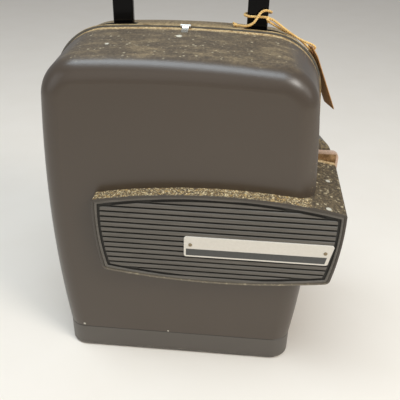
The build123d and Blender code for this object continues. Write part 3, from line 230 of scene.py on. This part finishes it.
def front_enamel():
    """Front cover: dusty roof, speckled ledge over the grille, worn nose edges."""
    satin = 0.3
    finish, shade, cloud, texture = enamel_base("front cover enamel", srgb(72, 60, 48), satin)
    x, y, z = finish.millimetres()
    up = finish.axes(finish.facing)[2]

    roof_height = (262.0, 276.0)
    ledge_height = (172.0, 200.0)
    nose_start = (107.0, 112.0)
    shoulder_start = (104.0, 110.0)
    shoulder_height = (150.0, 262.0)
    rim_depth = (-10.4, -11.6)
    lower_rim_height = (112.0, 104.0)
    hem_depth = (70.6, 73.4)

    roof = up.rise(0.78, 1.0) * z.rise(*roof_height)
    ledge = up.rise(0.45, 0.9) * z.within(*ledge_height, 4.0)
    nose_top = ledge * x.rise(*nose_start)
    strip = ledge - nose_top
    shoulder = x.rise(*shoulder_start) * z.within(*shoulder_height, 12.0)
    nose_side = shoulder * (1.0 - ledge)
    rim = y.rise(*rim_depth)
    lower = z.rise(*lower_rim_height)
    hem = y.rise(*hem_depth) * up.rise(0.1, 0.7)

    smears = finish.noise(70.0, 5.0, 0.65, finish.stretched(0.55, 1.7, 1.0)).rise(0.42, 0.7)
    grime = finish.noise(420.0, 4.0, 0.7, shift=3.0).rise(0.38, 0.66)
    patchy = finish.noise(140.0, 2.0, shift=5.0).rise(0.4, 0.58)
    big_flecks = finish.specks(5.2, 1.15, 0.35, 1.0) * patchy
    flecks = finish.specks(2.9, 0.7, 0.4, 4.0) * grime
    fine_flecks = finish.specks(1.7, 0.4, 0.5, 7.0) * grime
    white_dust = (flecks * 0.7).most(big_flecks * 0.6)

    dust = finish.mix(srgb(78, 64, 46), srgb(146, 126, 94), smears * 0.45 + grime * 0.55)
    colour = finish.mix(shade, dust, roof * (0.5 + smears * 0.5))
    colour = finish.mix(colour, srgb(198, 184, 152), roof * white_dust)

    rust = finish.mix(srgb(74, 52, 28), srgb(204, 166, 98), grime)
    crust = finish.noise(420.0, 6.0, 0.75, shift=9.0).rise(0.46, 0.58)
    colour = finish.mix(colour, rust, strip * (crust * 0.8 + 0.2))
    pale = finish.noise(620.0, 4.0, 0.8, shift=2.0).rise(0.52, 0.6)
    colour = finish.mix(colour, srgb(244, 224, 178), strip * pale.most(flecks))

    dusty = finish.mix(srgb(66, 54, 37), srgb(122, 104, 74), grime)
    colour = finish.mix(colour, dusty, nose_top * 0.9)
    scattered = finish.specks(4.2, 1.15, 0.3, 12.0) * grime.rise(0.1, 0.5)
    colour = finish.mix(colour, srgb(214, 196, 158), nose_top * white_dust.most(scattered * 0.85))
    colour = finish.mix(colour, srgb(74, 60, 42), nose_side * grime * 0.6)
    colour = finish.mix(colour, srgb(190, 168, 120), nose_side * fine_flecks * 0.8)

    scuff = finish.noise(300.0, 5.0, 0.7, shift=4.0).rise(0.5, 0.66)
    colour = finish.mix(colour, srgb(56, 49, 40), rim * (1.0 - lower) * 0.7)
    colour = finish.mix(colour, srgb(168, 156, 128), rim * lower * (0.25 + scuff * 0.6))
    hem_tone = finish.mix(srgb(164, 130, 82), srgb(232, 204, 154), grime)
    colour = finish.mix(colour, hem_tone, hem * 0.85)

    chips = [((-5.4, 56.7, 294.9), 2.4), ((-60.0, 38.0, 290.0), 2.2), ((83.0, 40.0, 286.0), 1.6),
             ((64.0, 26.0, 288.0), 0.9), ((93.0, 9.0, 262.0), 0.9), ((-91.0, 0.4, 28.0), 1.1),
             ((-9.0, 0.2, 26.6), 0.8), ((127.2, 38.8, 180.5), 2.0), ((122.6, -7.8, 180.5), 2.2)]
    for centre, radius in chips:
        colour = finish.mix(colour, srgb(214, 208, 190), finish.spot(centre, radius) * 0.85)
    finish.set("Base Color", colour)

    worn = (roof * up.rise(0.9, 1.0)).most(ledge)
    finish.set("Roughness", satin + worn * 0.36 + cloud * 0.05 + shoulder * 0.2)
    grit = finish.noise(1100.0, 5.0, 0.75, shift=6.0) * worn.most(shoulder * 0.6)
    finish.set("Normal", finish.bump(grit, 0.16, 0.6, texture))
    return finish.material


def shell_enamel():
    """Back shell: dusty cream along its front edge, painted shade in the groove in front of it,
    faint dust on top, clean behind.
    """
    finish, shade, cloud, texture = enamel_base("back shell enamel", srgb(100, 92, 80), 0.42)
    _, y, z = finish.millimetres()
    up = finish.axes(finish.facing)[2]
    top_height = (200.0, 240.0)
    thick_dust_depth = (106.0, 90.0)
    groove_shade_depth = (83.9, 83.3)
    front_edge_depth = (84.0, 85.0)
    top = up.rise(0.35, 0.9) * z.rise(*top_height)
    grime = finish.noise(420.0, 5.0, 0.7, shift=3.0)
    dust = finish.mix(srgb(112, 88, 58), srgb(204, 176, 128), grime.rise(0.3, 0.66))
    colour = finish.mix(shade, dust, top * (0.5 + y.rise(*thick_dust_depth) * 0.45))
    flecks = finish.specks(2.6, 0.42, 0.5, 4.0) * grime.rise(0.42, 0.6)
    colour = finish.mix(colour, srgb(222, 212, 182), flecks * up.rise(-0.1, 0.8) * 0.55)
    # Painted shade: the front of the shell, down in the groove under the cover's rim, is darkened.
    colour = finish.mix(colour, srgb(74, 55, 30), y.rise(*groove_shade_depth) * 0.95)
    edge = y.within(*front_edge_depth, 0.4) * grime.rise(0.4, 0.6)
    colour = finish.mix(colour, srgb(196, 178, 134), edge * 0.5)
    finish.set("Base Color", colour)
    finish.set("Roughness", 0.4 + top * 0.35 + cloud * 0.08)
    finish.set("Normal", texture)
    return finish.material


def base_enamel():
    """Base tray: the same enamel, a little paler, with scuffs along its lower edge and painted shade
    along its top at the seam.
    """
    satin = 0.36
    finish, shade, cloud, texture = enamel_base("base enamel", srgb(84, 77, 69), satin)
    z = finish.millimetres()[2]
    scuffed_height = (7.0, 2.0)
    seam_shade_height = (24.2, 25.2)
    low = z.rise(*scuffed_height)
    scuff = finish.noise(240.0, 5.0, 0.7, finish.stretched(0.4, 0.4, 2.0))
    colour = finish.mix(shade, srgb(142, 136, 124), low * scuff.rise(0.5, 0.66) * 0.5)
    # Painted shade: the top of the tray, in the seam under the cover, is darkened.
    colour = finish.mix(colour, srgb(60, 56, 50), z.rise(*seam_shade_height) * 0.4)
    finish.set("Base Color", colour)
    finish.set("Roughness", satin + cloud * 0.1 + low * 0.15)
    finish.set("Normal", texture)
    return finish.material


def bare_rim():
    """Cast plate: bright tan bare rim, tarnished brown and speckled, painted inside."""
    finish = Finish("cast plate with bare rim", srgb(178, 160, 122), 0.5, Metallic=0.55)
    x, _, z = finish.millimetres()
    collar_start = (112.0, 116.0)
    collar_height = (96.0, 194.0)
    lip_start = (137.8, 139.2)
    lip_top = (187.0, 188.6)
    tarnish = finish.noise(120.0, 5.0, 0.7)
    fine = finish.noise(900.0, 4.0, 0.7, shift=2.0)
    metal = finish.mix(srgb(136, 108, 66), srgb(216, 190, 142), tarnish.rise(0.3, 0.65))
    colour = finish.mix(metal, srgb(94, 72, 42), fine.rise(0.56, 0.7) * 0.7)
    collar = x.rise(*collar_start) * z.within(*collar_height, 2.0)
    aged = finish.mix(srgb(112, 80, 48), srgb(188, 150, 106), tarnish.rise(0.34, 0.64))
    colour = finish.mix(colour, aged, collar * 0.85)
    lip = x.rise(*lip_start).most(z.rise(*lip_top))
    pinkish = finish.mix(srgb(236, 206, 184), srgb(176, 146, 122), fine.rise(0.5, 0.7))
    colour = finish.mix(colour, pinkish, collar * lip * 0.9)
    flat = finish.axes(finish.facing)[1].size().rise(0.6, 0.9)
    inside = flat * x.rise(*reversed(collar_start))
    paint = finish.mix(srgb(84, 80, 73), srgb(108, 104, 96), tarnish)
    colour = finish.mix(colour, paint, inside)
    finish.set("Base Color", colour)
    finish.set("Metallic", 0.5 - inside * 0.5)
    finish.set("Roughness", 0.4 + fine * 0.3)
    finish.set("Normal", finish.bump(fine, 0.05, 0.6))
    return finish.material


def ribbed_grille():
    """Grille: grey ribs with painted shade darkening the grooves, faint painted highlight streaks
    along the ribs and a little lint.
    """
    finish = Finish("ribbed grille paint", srgb(76, 75, 72), 0.42)
    y = finish.millimetres()[1]
    groove_shade_depth = (-11.3, -10.5)
    # Painted highlights: lighter streaks along the ribs, mixed with a fine random tone.
    highlight_streak = finish.noise(90.0, 4.0, 0.6, finish.stretched(0.35, 1.0, 9.0))
    fine = finish.noise(1600.0, 3.0, 0.6)
    ribs = finish.mix(srgb(80, 74, 66), srgb(108, 102, 93), highlight_streak.rise(0.3, 0.7) * 0.6 + fine * 0.4)
    # Painted shade: the grooves between the ribs are darkened deeper in.
    deep = y.rise(*groove_shade_depth)
    colour = finish.mix(ribs, srgb(50, 47, 42), deep)
    lint = finish.specks(4.2, 0.3, 0.5, 2.0) * finish.noise(60.0, 2.0, shift=8.0).rise(0.55, 0.65)
    colour = finish.mix(colour, srgb(150, 144, 128), lint * 0.6)
    finish.set("Base Color", colour)
    finish.set("Roughness", 0.38 + deep * 0.3 + fine * 0.1)
    finish.set("Normal", finish.bump(fine, 0.015, 0.5))
    return finish.material


def banded_nameplate():
    """Bare nameplate: off-white with a dark band, its right end cut slanting."""
    finish = Finish("banded nameplate", srgb(226, 225, 219), 0.3)
    x, _, z = finish.millimetres()
    low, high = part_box("nameplate")
    left = (low.x - case_x) / MM
    right = (high.x - case_x) / MM
    foot = low.z / MM
    slant = 0.195
    left_border = (1.7, 2.0)
    right_border = (6.2, 6.5)
    band_height = (1.7, 8.3)
    slanted = x - (z - foot) * slant
    across = (x.rise(*(left + inset for inset in left_border))
              * slanted.rise(*(right - inset for inset in right_border)))
    band = z.within(*(foot + height for height in band_height), 0.15) * across
    wear = finish.noise(500.0, 5.0, 0.7)
    plain = finish.mix(srgb(212, 204, 190), srgb(232, 225, 213), wear)
    dark = finish.mix(srgb(58, 58, 56), srgb(84, 83, 80), wear)
    scratch = finish.noise(200.0, 4.0, 0.6, finish.stretched(0.3, 1.0, 6.0)).rise(0.66, 0.7)
    colour = finish.mix(plain, dark, band)
    colour = finish.mix(colour, srgb(176, 172, 160), scratch * 0.35)
    finish.set("Base Color", colour)
    finish.set("Roughness", 0.26 + wear * 0.16)
    finish.set("Normal", finish.bump(band * -0.6 + wear * 0.1, 0.05, 0.5))
    return finish.material


# Metals, plastics, rubber and glass

def metal(name, colour, rough, lines=(1.0, 1.0, 1.0), dull=0.25):
    """Bare metal with slight tarnish, brushed or turned along the stretch of lines."""
    finish = Finish(name, colour, rough, Metallic=1.0)
    tone = finish.noise(150.0, 4.0, 0.6)
    finish.set("Base Color", finish.mix(tinted(colour, 1 - dull), colour, tone.rise(0.3, 0.65)))
    fine = finish.noise(900.0, 3.0, 0.6, finish.stretched(*lines))
    finish.set("Roughness", rough - 0.06 + fine * 0.16)
    finish.set("Normal", finish.bump(fine, 0.02, 0.4))
    return finish.material


def painted_sheet(name, colour, rough):
    """Stamped sheet or housing with thin paint and light rubbed spots."""
    finish = Finish(name, colour, rough)
    wear = finish.noise(180.0, 5.0, 0.7)
    paler = tinted(colour, 1.9, 0.01)
    finish.set("Base Color", finish.mix(colour, paler, wear.rise(0.5, 0.75) * 0.6))
    finish.set("Roughness", rough - 0.05 + wear * 0.2)
    finish.set("Normal", finish.bump(finish.noise(1400.0, 3.0), 0.02, 0.5))
    return finish.material


def moulded(name, colour, rough, grain=1800.0, depth=0.012):
    """Moulded plastic, rubber or ceramic with an even fine grain."""
    finish = Finish(name, colour, rough)
    tone = finish.noise(30.0, 3.0)
    grit = finish.noise(grain, 3.0, 0.6, shift=1.0)
    paler = tinted(colour, 1.35, 0.004)
    finish.set("Base Color", finish.mix(colour, paler, tone * 0.6 + grit * 0.4))
    finish.set("Roughness", rough - 0.04 + grit * 0.12)
    finish.set("Normal", finish.bump(grit, depth, 0.6))
    return finish.material


def gloss_black(name, shine):
    """Glossy black handle, lightly hazed and with a little dust."""
    finish = Finish(name, srgb(6, 6, 7), shine, Coat_Roughness=0.08, Specular_IOR_Level=0.12)
    haze = finish.noise(70.0, 4.0, 0.6)
    dust = finish.specks(5.0, 0.28, 0.5, 3.0) * haze.rise(0.45, 0.6)
    tone = finish.mix(srgb(3, 3, 4), srgb(9, 8, 8), haze)
    finish.set("Base Color", finish.mix(tone, srgb(110, 104, 92), dust * 0.5))
    finish.set("Roughness", shine + haze.rise(0.4, 0.8) * 0.12)
    finish.set("Coat Weight", 0.14 - haze * 0.06)
    return finish.material


def bright_tab():
    """Finger tab: bright worn metal with a dull, dirty root."""
    finish = Finish("bright finger tab", srgb(214, 212, 204), 0.3, Metallic=0.75)
    y = finish.millimetres()[1]
    root_depth = (72.0, 67.0)
    wear = finish.noise(600.0, 5.0, 0.7)
    root = y.rise(*root_depth)
    worn = finish.mix(srgb(190, 186, 176), srgb(242, 242, 238), wear)
    finish.set("Base Color", finish.mix(worn, srgb(126, 112, 86), root * 0.6))
    finish.set("Roughness", 0.24 + wear * 0.25)
    finish.set("Normal", finish.bump(wear, 0.03, 0.5))
    return finish.material


def clear_glass(name, tint, coating):
    """Clear glass or lens with a faint coating."""
    finish = Finish(name, tint, 0.02, Transmission_Weight=0.9, IOR=1.5)
    film = finish.noise(25.0, 2.0)
    finish.set("Base Color", finish.mix(tint, coating, film * 0.6))
    finish.set("Roughness", 0.015 + film * 0.04)
    finish.set("Normal", finish.bump(film, 0.004, 0.2))
    return finish.material


def silvered():
    """Silvered mirror, slightly hazed in patches by heat."""
    finish = Finish("silvered mirror", srgb(236, 236, 234), 0.05, Metallic=1.0)
    haze = finish.noise(140.0, 4.0, 0.6)
    finish.set("Base Color", finish.mix(srgb(226, 222, 210), srgb(244, 244, 242), haze))
    finish.set("Roughness", 0.04 + haze.rise(0.5, 0.8) * 0.12)
    finish.set("Normal", finish.bump(haze, 0.003, 0.2))
    return finish.material


def cotton(name, light, deep):
    """Cream cotton thread: fuzzy, soiled in patches."""
    finish = Finish(name, light, 0.9, Sheen_Weight=0.3, Sheen_Roughness=0.5)
    fibre = finish.noise(2600.0, 4.0, 0.7)
    soil = finish.noise(160.0, 3.0, 0.6, shift=3.0)
    finish.set("Base Color", finish.mix(light, deep, fibre * 0.45 + soil.rise(0.4, 0.75) * 0.4))
    finish.set("Roughness", 0.82 + fibre * 0.14)
    finish.set("Normal", finish.bump(fibre, 0.08, 0.7))
    return finish.material


def tag_board():
    """Buff card with visible fibres, soiled brown in patches."""
    finish = Finish("buff tag card", srgb(172, 140, 98), 0.85)
    fibre = finish.noise(1500.0, 5.0, 0.7, finish.stretched(1.0, 1.0, 0.35))
    soil = finish.noise(60.0, 4.0, 0.6, shift=5.0)
    tone = finish.mix(srgb(172, 124, 76), srgb(214, 166, 108), fibre)
    finish.set("Base Color", finish.mix(tone, srgb(134, 94, 58), soil.rise(0.45, 0.75) * 0.45))
    finish.set("Roughness", 0.78 + fibre * 0.16)
    finish.set("Normal", finish.bump(fibre, 0.04, 0.6))
    return finish.material


turned_round_y = (1.0, 0.06, 1.0)
brushed_upright = (1.0, 1.0, 0.08)
brushed_across = (0.2, 1.0, 1.0)
finishes = {
    "case_enamel": front_enamel(),
    "shell_enamel": shell_enamel(),
    "base_enamel": base_enamel(),
    "bare_plate": bare_rim(),
    "grille_grey": ribbed_grille(),
    "nameplate_white": banded_nameplate(),
    "rivet_metal": metal("dull brown rivets", srgb(150, 136, 112), 0.42),
    "tab_metal": bright_tab(),
    "spring_steel": metal("spring steel", srgb(176, 176, 174), 0.32, brushed_across),
    "turned_steel": metal("turned steel", srgb(186, 184, 178), 0.3, turned_round_y),
    "pulley_steel": metal("turned pulley steel", srgb(178, 178, 178), 0.28, turned_round_y),
    "gate_steel": metal("polished gate steel", srgb(206, 206, 206), 0.16, brushed_upright, dull=0.1),
    "reel_sheet": metal("satin reel sheet", srgb(196, 198, 200), 0.34, turned_round_y, dull=0.12),
    "bush_brass": metal("sintered bronze", srgb(196, 156, 98), 0.4),
    "lamp_brass": metal("stamped brass", srgb(206, 172, 106), 0.28),
    "mirror_face": silvered(),
    "grip_black": gloss_black("glossy black handle", 0.16),
    "guide_black": moulded("matt black guides", srgb(20, 19, 18), 0.6),
    "foot_rubber": moulded("black foot rubber", srgb(34, 33, 32), 0.8, 1200.0, 0.03),
    "belt_rubber": moulded("black belt rubber", srgb(30, 30, 30), 0.7, 1500.0, 0.02),
    "control_black": moulded("black control plastic", srgb(30, 30, 31), 0.35),
    "fan_plastic": moulded("black fan plastic", srgb(38, 38, 38), 0.45),
    "gear_nylon": moulded("cream gear plastic", srgb(226, 216, 184), 0.4, 1400.0, 0.01),
    "holder_ceramic": moulded("white lamp ceramic", srgb(222, 216, 202), 0.28, 900.0, 0.01),
    "motor_steel": painted_sheet("black motor paint", srgb(42, 42, 44), 0.4),
    "sheet_black": painted_sheet("heat-proof black paint", srgb(36, 35, 34), 0.6),
    "barrel_black": painted_sheet("black lens barrel", srgb(28, 28, 29), 0.34),
    "lamp_glass": clear_glass("lamp glass", srgb(244, 246, 247), srgb(226, 232, 236)),
    "lens_glass": clear_glass("coated lens glass", srgb(238, 244, 248), srgb(186, 206, 236)),
    "string_cotton": cotton("cream cotton string", srgb(252, 214, 138), srgb(196, 142, 70)),
    "tag_card": tag_board(),
}

for part in frame["record"]["subparts"]:
    node = nodes[part["node"]]
    node.data.materials.clear()
    node.data.materials.append(finishes[part["material_slot"]])


# String and tag: strands twisted round a core, two knots, and a card with a ring round
# its hole; their sizes are in millimetres

core_thick = 1.3
strand_count = 3
strand_radius = 0.56
strand_offset = 0.56
strand_turn = 5.6
strand_step = 0.35
string_route = [
    (38.0, 93.0, 296.9),
    (42.6, 86.4, 298.2),
    (48.2, 80.6, 299.2),
    (53.4, 79.6, 301.4),
    (56.6, 81.6, 305.6),
    (59.0, 84.0, 309.8),
    (63.0, 85.7, 311.8),
    (67.6, 87.4, 310.2),
    (68.8, 92.4, 308.6),
    (65.6, 97.2, 307.6),
    (59.4, 98.2, 307.2),
    (52.6, 98.0, 306.8),
    (46.6, 95.4, 306.4),
    (46.0, 89.6, 306.1),
    (50.4, 86.2, 305.9),
    (56.6, 86.0, 305.9),
    (62.8, 85.9, 306.1),
    (68.8, 85.3, 305.0),
    (74.6, 84.8, 301.4),
    (80.8, 84.6, 297.0),
    (87.2, 85.2, 292.8),
    (93.4, 87.4, 288.8),
    (99.4, 90.0, 285.8),
    (105.0, 92.4, 283.6),
    (109.4, 95.0, 280.2),
    (106.7, 97.2, 277.0),
    (102.9, 98.6, 278.8),
    (97.6, 97.0, 284.2),
    (92.6, 93.6, 288.2),
    (87.2, 90.2, 291.4),
    (81.2, 87.8, 294.6),
    (75.0, 86.4, 297.8),
    (69.8, 85.6, 300.8),
    (65.6, 85.2, 303.0),
]


def spline_curve(name, points, radius):
    """Curve object along one smooth open spline."""
    data = bpy.data.curves.new(name, "CURVE")
    data.dimensions = "3D"
    data.resolution_u = 8
    data.bevel_depth = radius
    data.bevel_resolution = 3
    data.use_fill_caps = True
    spline = data.splines.new("NURBS")
    spline.points.add(len(points) - 1)
    for point, where in zip(spline.points, points):
        point.co = (*where, 1.0)
    spline.order_u = 3
    spline.use_endpoint_u = True
    curve = bpy.data.objects.new(name, data)
    bpy.context.scene.collection.objects.link(curve)
    return curve


def curve_points(curve):
    """Points along a curve's own line."""
    bare = curve.data.copy()
    bare.bevel_depth = 0.0
    ghost = bpy.data.objects.new("bare line", bare)
    mesh = bpy.data.meshes.new_from_object(ghost)
    points = [v.co.copy() for v in mesh.vertices]
    bpy.data.objects.remove(ghost)
    bpy.data.curves.remove(bare)
    bpy.data.meshes.remove(mesh)
    return points


def even_steps(points, step):
    """Points spaced evenly along a line of points."""
    spaced = [points[0]]
    left = step
    for start, end in zip(points, points[1:]):
        run = (end - start).length
        while run >= left:
            start = start.lerp(end, left / run)
            run = (end - start).length
            spaced.append(start)
            left = step
        left -= run
    return spaced


def mesh_object(name, vertices, faces, material, smooth=True):
    """Mesh object from points and faces."""
    mesh = bpy.data.meshes.new(name)
    mesh.from_pydata([tuple(v) for v in vertices], [], faces)
    mesh.update()
    if smooth:
        mesh.polygons.foreach_set("use_smooth", [True] * len(mesh.polygons))
    mesh.materials.append(material)
    piece = bpy.data.objects.new(name, mesh)
    bpy.context.scene.collection.objects.link(piece)
    return piece


def crossings(line):
    """Each point of a line, with two directions that cross the line squarely there."""
    side = Vector((0, 0, 1))
    for number, centre in enumerate(line):
        ahead = line[min(number + 1, len(line) - 1)] - line[max(number - 1, 0)]
        ahead.normalize()
        side = (side - ahead * side.dot(ahead)).normalized()
        yield centre, side, ahead.cross(side)


def beside(centre, side, other, turn, distance):
    """Point at a distance from a centre, turned from one direction towards the other."""
    return centre + (side * math.cos(turn) + other * math.sin(turn)) * distance


def tube(line, radius, sides=6):
    """Vertices and faces of a tube along a line of points."""
    vertices = [beside(*crossing, 2 * math.pi * corner / sides, radius)
                for crossing in crossings(line) for corner in range(sides)]
    faces = []
    for number in range(len(line) - 1):
        for corner in range(sides):
            here = number * sides + corner
            following = number * sides + (corner + 1) % sides
            faces.append((here, following, following + sides, here + sides))
    faces.append(tuple(reversed(range(sides))))
    last = (len(line) - 1) * sides
    faces.append(tuple(range(last, last + sides)))
    return vertices, faces


def twisted(line, distance, turn_length, step, start):
    """Line that winds round another, whose points lie a step apart, at a distance."""
    return [beside(*crossing, start + 2 * math.pi * number * step / turn_length, distance)
            for number, crossing in enumerate(crossings(line))]


string = spline_curve("string", [place(*point) for point in string_route], core_thick / 2 * MM)
string.data.materials.append(finishes["string_cotton"])
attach(string, "case")
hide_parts("tag_string")
centreline = curve_points(string)
string_length = sum((b - a).length for a, b in zip(centreline, centreline[1:]))
step = strand_step * MM
stepped_line = even_steps(centreline, step)
for strand in range(strand_count):
    start = strand * 2 * math.pi / strand_count
    line = twisted(stepped_line, strand_offset * MM, strand_turn * MM, step, start)
    shape = tube(line, strand_radius * MM)
    piece = mesh_object(f"string_strand_{strand}", *shape, finishes["string_cotton"])
    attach(piece, "case")


def knot(name, centre, radius, lean):
    """Overhand knot drawn tight: a cord on a closed trefoil line, which reaches 3 units."""
    steps = 72
    trefoil_reach = 3
    cord_radius = 0.75
    cord_sides = 8
    line = []
    for number in range(steps + 1):
        turn = 2 * math.pi * number / steps
        local = Vector((
            math.sin(turn) + 2 * math.sin(2 * turn),
            math.cos(turn) - 2 * math.cos(2 * turn),
            -math.sin(3 * turn),
        ))
        local = Matrix.Rotation(lean, 3, "Y") @ local
        line.append(place(*centre) + local * radius * MM / trefoil_reach)
    shape = tube(line, cord_radius * MM, cord_sides)
    piece = mesh_object(name, *shape, finishes["string_cotton"])
    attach(piece, "case")
    return piece


knot("string_end_knot", (38.6, 92.0, 297.6), 2.1, 0.4)
knot("string_leg_knot", (65.8, 85.2, 304.2), 2.2, 1.2)

tag_across = Vector((-0.2, 0.976, -0.088)).normalized()
tag_down = Vector((0.402, 0.0, -0.916)).normalized()
tag_out = tag_down.cross(tag_across).normalized()
tag_top = place(104.8, 96.6, 281.0)
tag_length = 58.0
tag_width = 27.0
tag_corner = 7.0
tag_thick = 0.8
corner_softness = 0.9
edge_share = 0.55
hole_inset = 4.2
hole_radius = 2.9


def on_tag(down, across, out):
    """Point on the tag, in millimetres down, across and out of its face."""
    return tag_top + (tag_down * down + tag_across * across + tag_out * out) * MM


def tag_outline():
    """Outline of the card, with its corners slightly soft from handling."""
    half = tag_width / 2
    corners = [(0, half - tag_corner), (tag_corner, half), (tag_length, half),
               (tag_length, -half), (tag_corner, -half), (0, tag_corner - half)]
    outline = []
    for number, corner in enumerate(corners):
        before = Vector(corners[number - 1])
        after = Vector(corners[(number + 1) % len(corners)])
        here = Vector(corner)
        start = here + (before - here).normalized() * corner_softness
        end = here + (after - here).normalized() * corner_softness
        for share in (0.0, 0.33, 0.67, 1.0):
            outline.append(start.lerp(here, share).lerp(here.lerp(end, share), share))
    return outline


def card():
    """Card of the tag in rings from its hole to its edge, both of them worn thinner."""
    outline = tag_outline()
    count = len(outline)
    hole = Vector((hole_inset, 0.0))
    rings = []
    for share in (0.0, 0.2, 0.45, 0.75, 0.97, 1.0):
        ring = []
        for edge in outline:
            rim = hole + (edge - hole).normalized() * hole_radius
            ring.append(rim.lerp(edge, share))
        rings.append(ring)
    vertices = []
    for side in (-1, 1):
        for number, ring in enumerate(rings):
            thin = edge_share if number in (0, len(rings) - 1) else 1.0
            vertices += [on_tag(point.x, point.y, side * tag_thick / 2 * thin) for point in ring]
    faces = []
    per_side = len(rings) * count
    for number in range(len(rings) - 1):
        for corner in range(count):
            here = number * count + corner
            following = number * count + (corner + 1) % count
            faces.append((here, following, following + count, here + count))
            faces.append((per_side + following, per_side + here,
                          per_side + here + count, per_side + following + count))
    for ring_start in (0, (len(rings) - 1) * count):
        for corner in range(count):
            here = ring_start + corner
            following = ring_start + (corner + 1) % count
            face = (here, following, per_side + following, per_side + here)
            faces.append(face if ring_start else tuple(reversed(face)))
    return vertices, faces


tag = mesh_object("tag", *card(), finishes["tag_card"], smooth=False)
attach(tag, "case")
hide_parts("hang_tag")


def pressed_ring():
    """Ring of pressed card round the tag's hole, on both faces, from its radius and depth."""
    profile = [(2.7, -0.42), (2.8, -0.6), (3.6, -0.6), (4.0, -0.5), (4.1, -0.38),
               (4.1, 0.38), (4.0, 0.5), (3.6, 0.6), (2.8, 0.6), (2.7, 0.42)]
    sides = 32
    vertices = []
    for number in range(sides):
        turn = 2 * math.pi * number / sides
        for radius, out in profile:
            down = hole_inset + radius * math.cos(turn)
            vertices.append(on_tag(down, radius * math.sin(turn), out))
    faces = []
    count = len(profile)
    for number in range(sides):
        following = (number + 1) % sides
        for step in range(count):
            next_step = (step + 1) % count
            faces.append((number * count + step, following * count + step,
                          following * count + next_step, number * count + next_step))
    return vertices, faces


ring_finish = moulded("red-brown tag ring", srgb(132, 84, 52), 0.7, 1500.0, 0.02)
ring = mesh_object("tag_ring", *pressed_ring(), ring_finish)
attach(ring, "case")

tuple(place(*string_route[0]))

# Floor, world, lights and camera

floor_finish = Finish("pale table", srgb(246, 238, 228), 0.6)
grain = floor_finish.noise(14.0, 4.0)
floor_tone = floor_finish.mix(srgb(246, 236, 222), srgb(252, 243, 231), grain)
floor_finish.set("Base Color", floor_tone)
reach = 4.0
floor_corners = [(-reach, -reach, 0), (reach, -reach, 0), (reach, reach, 0), (-reach, reach, 0)]
floor = mesh_object("floor", floor_corners, [(0, 1, 2, 3)], floor_finish.material, smooth=False)

# The world lights the object softly, and the camera sees it as plain pale grey.
world = bpy.data.worlds.new("studio")
bpy.context.scene.world = world
world.use_nodes = True
background = world.node_tree.nodes["Background"]
background.inputs["Color"].default_value = (0.93, 0.96, 1.0, 1.0)
background.inputs["Strength"].default_value = 0.35
bright = world.node_tree.nodes.new("ShaderNodeBackground")
bright.inputs["Strength"].default_value = 1.0
path = world.node_tree.nodes.new("ShaderNodeLightPath")
choose = world.node_tree.nodes.new("ShaderNodeMixShader")
link = world.node_tree.links.new
link(path.outputs["Is Camera Ray"], choose.inputs[0])
link(background.outputs[0], choose.inputs[1])
link(bright.outputs[0], choose.inputs[2])
link(choose.outputs[0], world.node_tree.nodes["World Output"].inputs["Surface"])


def softbox(name, where, aim, width, height, power, colour):
    """Rectangular lamp at a point in metres, turned to face another."""
    data = bpy.data.lights.new(name, "AREA")
    data.shape = "RECTANGLE"
    data.size = width
    data.size_y = height
    data.energy = power
    data.color = colour
    lamp = bpy.data.objects.new(name, data)
    bpy.context.scene.collection.objects.link(lamp)
    lamp.location = where
    lamp.rotation_euler = (Vector(aim) - Vector(where)).to_track_quat("-Z", "Y").to_euler()


softbox("overhead softbox", where=(-0.15, -0.22, 1.45), aim=(0, 0, 0.15),
        width=1.5, height=0.48, power=13.5, colour=(0.80, 0.91, 1.0))
softbox("corner softbox", where=(0.93, -0.68, 1.2), aim=(0, 0, 0.2),
        width=0.5, height=0.4, power=9.0, colour=(1.0, 0.97, 0.92))
softbox("right softbox", where=(1.35, -0.35, 0.75), aim=(0, 0, 0.18),
        width=0.5, height=0.5, power=1.4, colour=(1.0, 0.97, 0.93))
softbox("front fill", where=(-0.4, -1.6, 0.9), aim=(0, 0, 0.15),
        width=1.2, height=1.2, power=2.3, colour=(1.0, 0.96, 0.9))
softbox("left fill", where=(-1.3, -0.7, 0.6), aim=(0, 0, 0.15),
        width=0.8, height=0.8, power=1.6, colour=(0.95, 0.97, 1.0))

image_width = 400
sensor_width = 36.0
camera_place = (46.9, -384.0, 408.0)
focal_pixels = 545.0
pitch, yaw, roll = (math.radians(degrees) for degrees in (31.0, 4.17, 1.40))
ahead = math.cos(pitch)
forward = Vector((-math.sin(yaw) * ahead, math.cos(yaw) * ahead, -math.sin(pitch)))
level = Vector((math.cos(yaw), math.sin(yaw), 0.0))
upright = level.cross(forward)
right = math.cos(roll) * level + math.sin(roll) * upright
up = -math.sin(roll) * level + math.cos(roll) * upright
camera_data = bpy.data.cameras.new("camera")
camera_data.sensor_width = sensor_width
camera_data.lens = sensor_width * focal_pixels / image_width
camera = bpy.data.objects.new("camera", camera_data)
bpy.context.scene.collection.objects.link(camera)
turned = Matrix((right, up, -forward)).transposed().to_4x4()
camera.matrix_world = Matrix.Translation(place(*camera_place)) @ turned
bpy.context.scene.camera = camera
bpy.context.scene.view_settings.view_transform = "Standard"
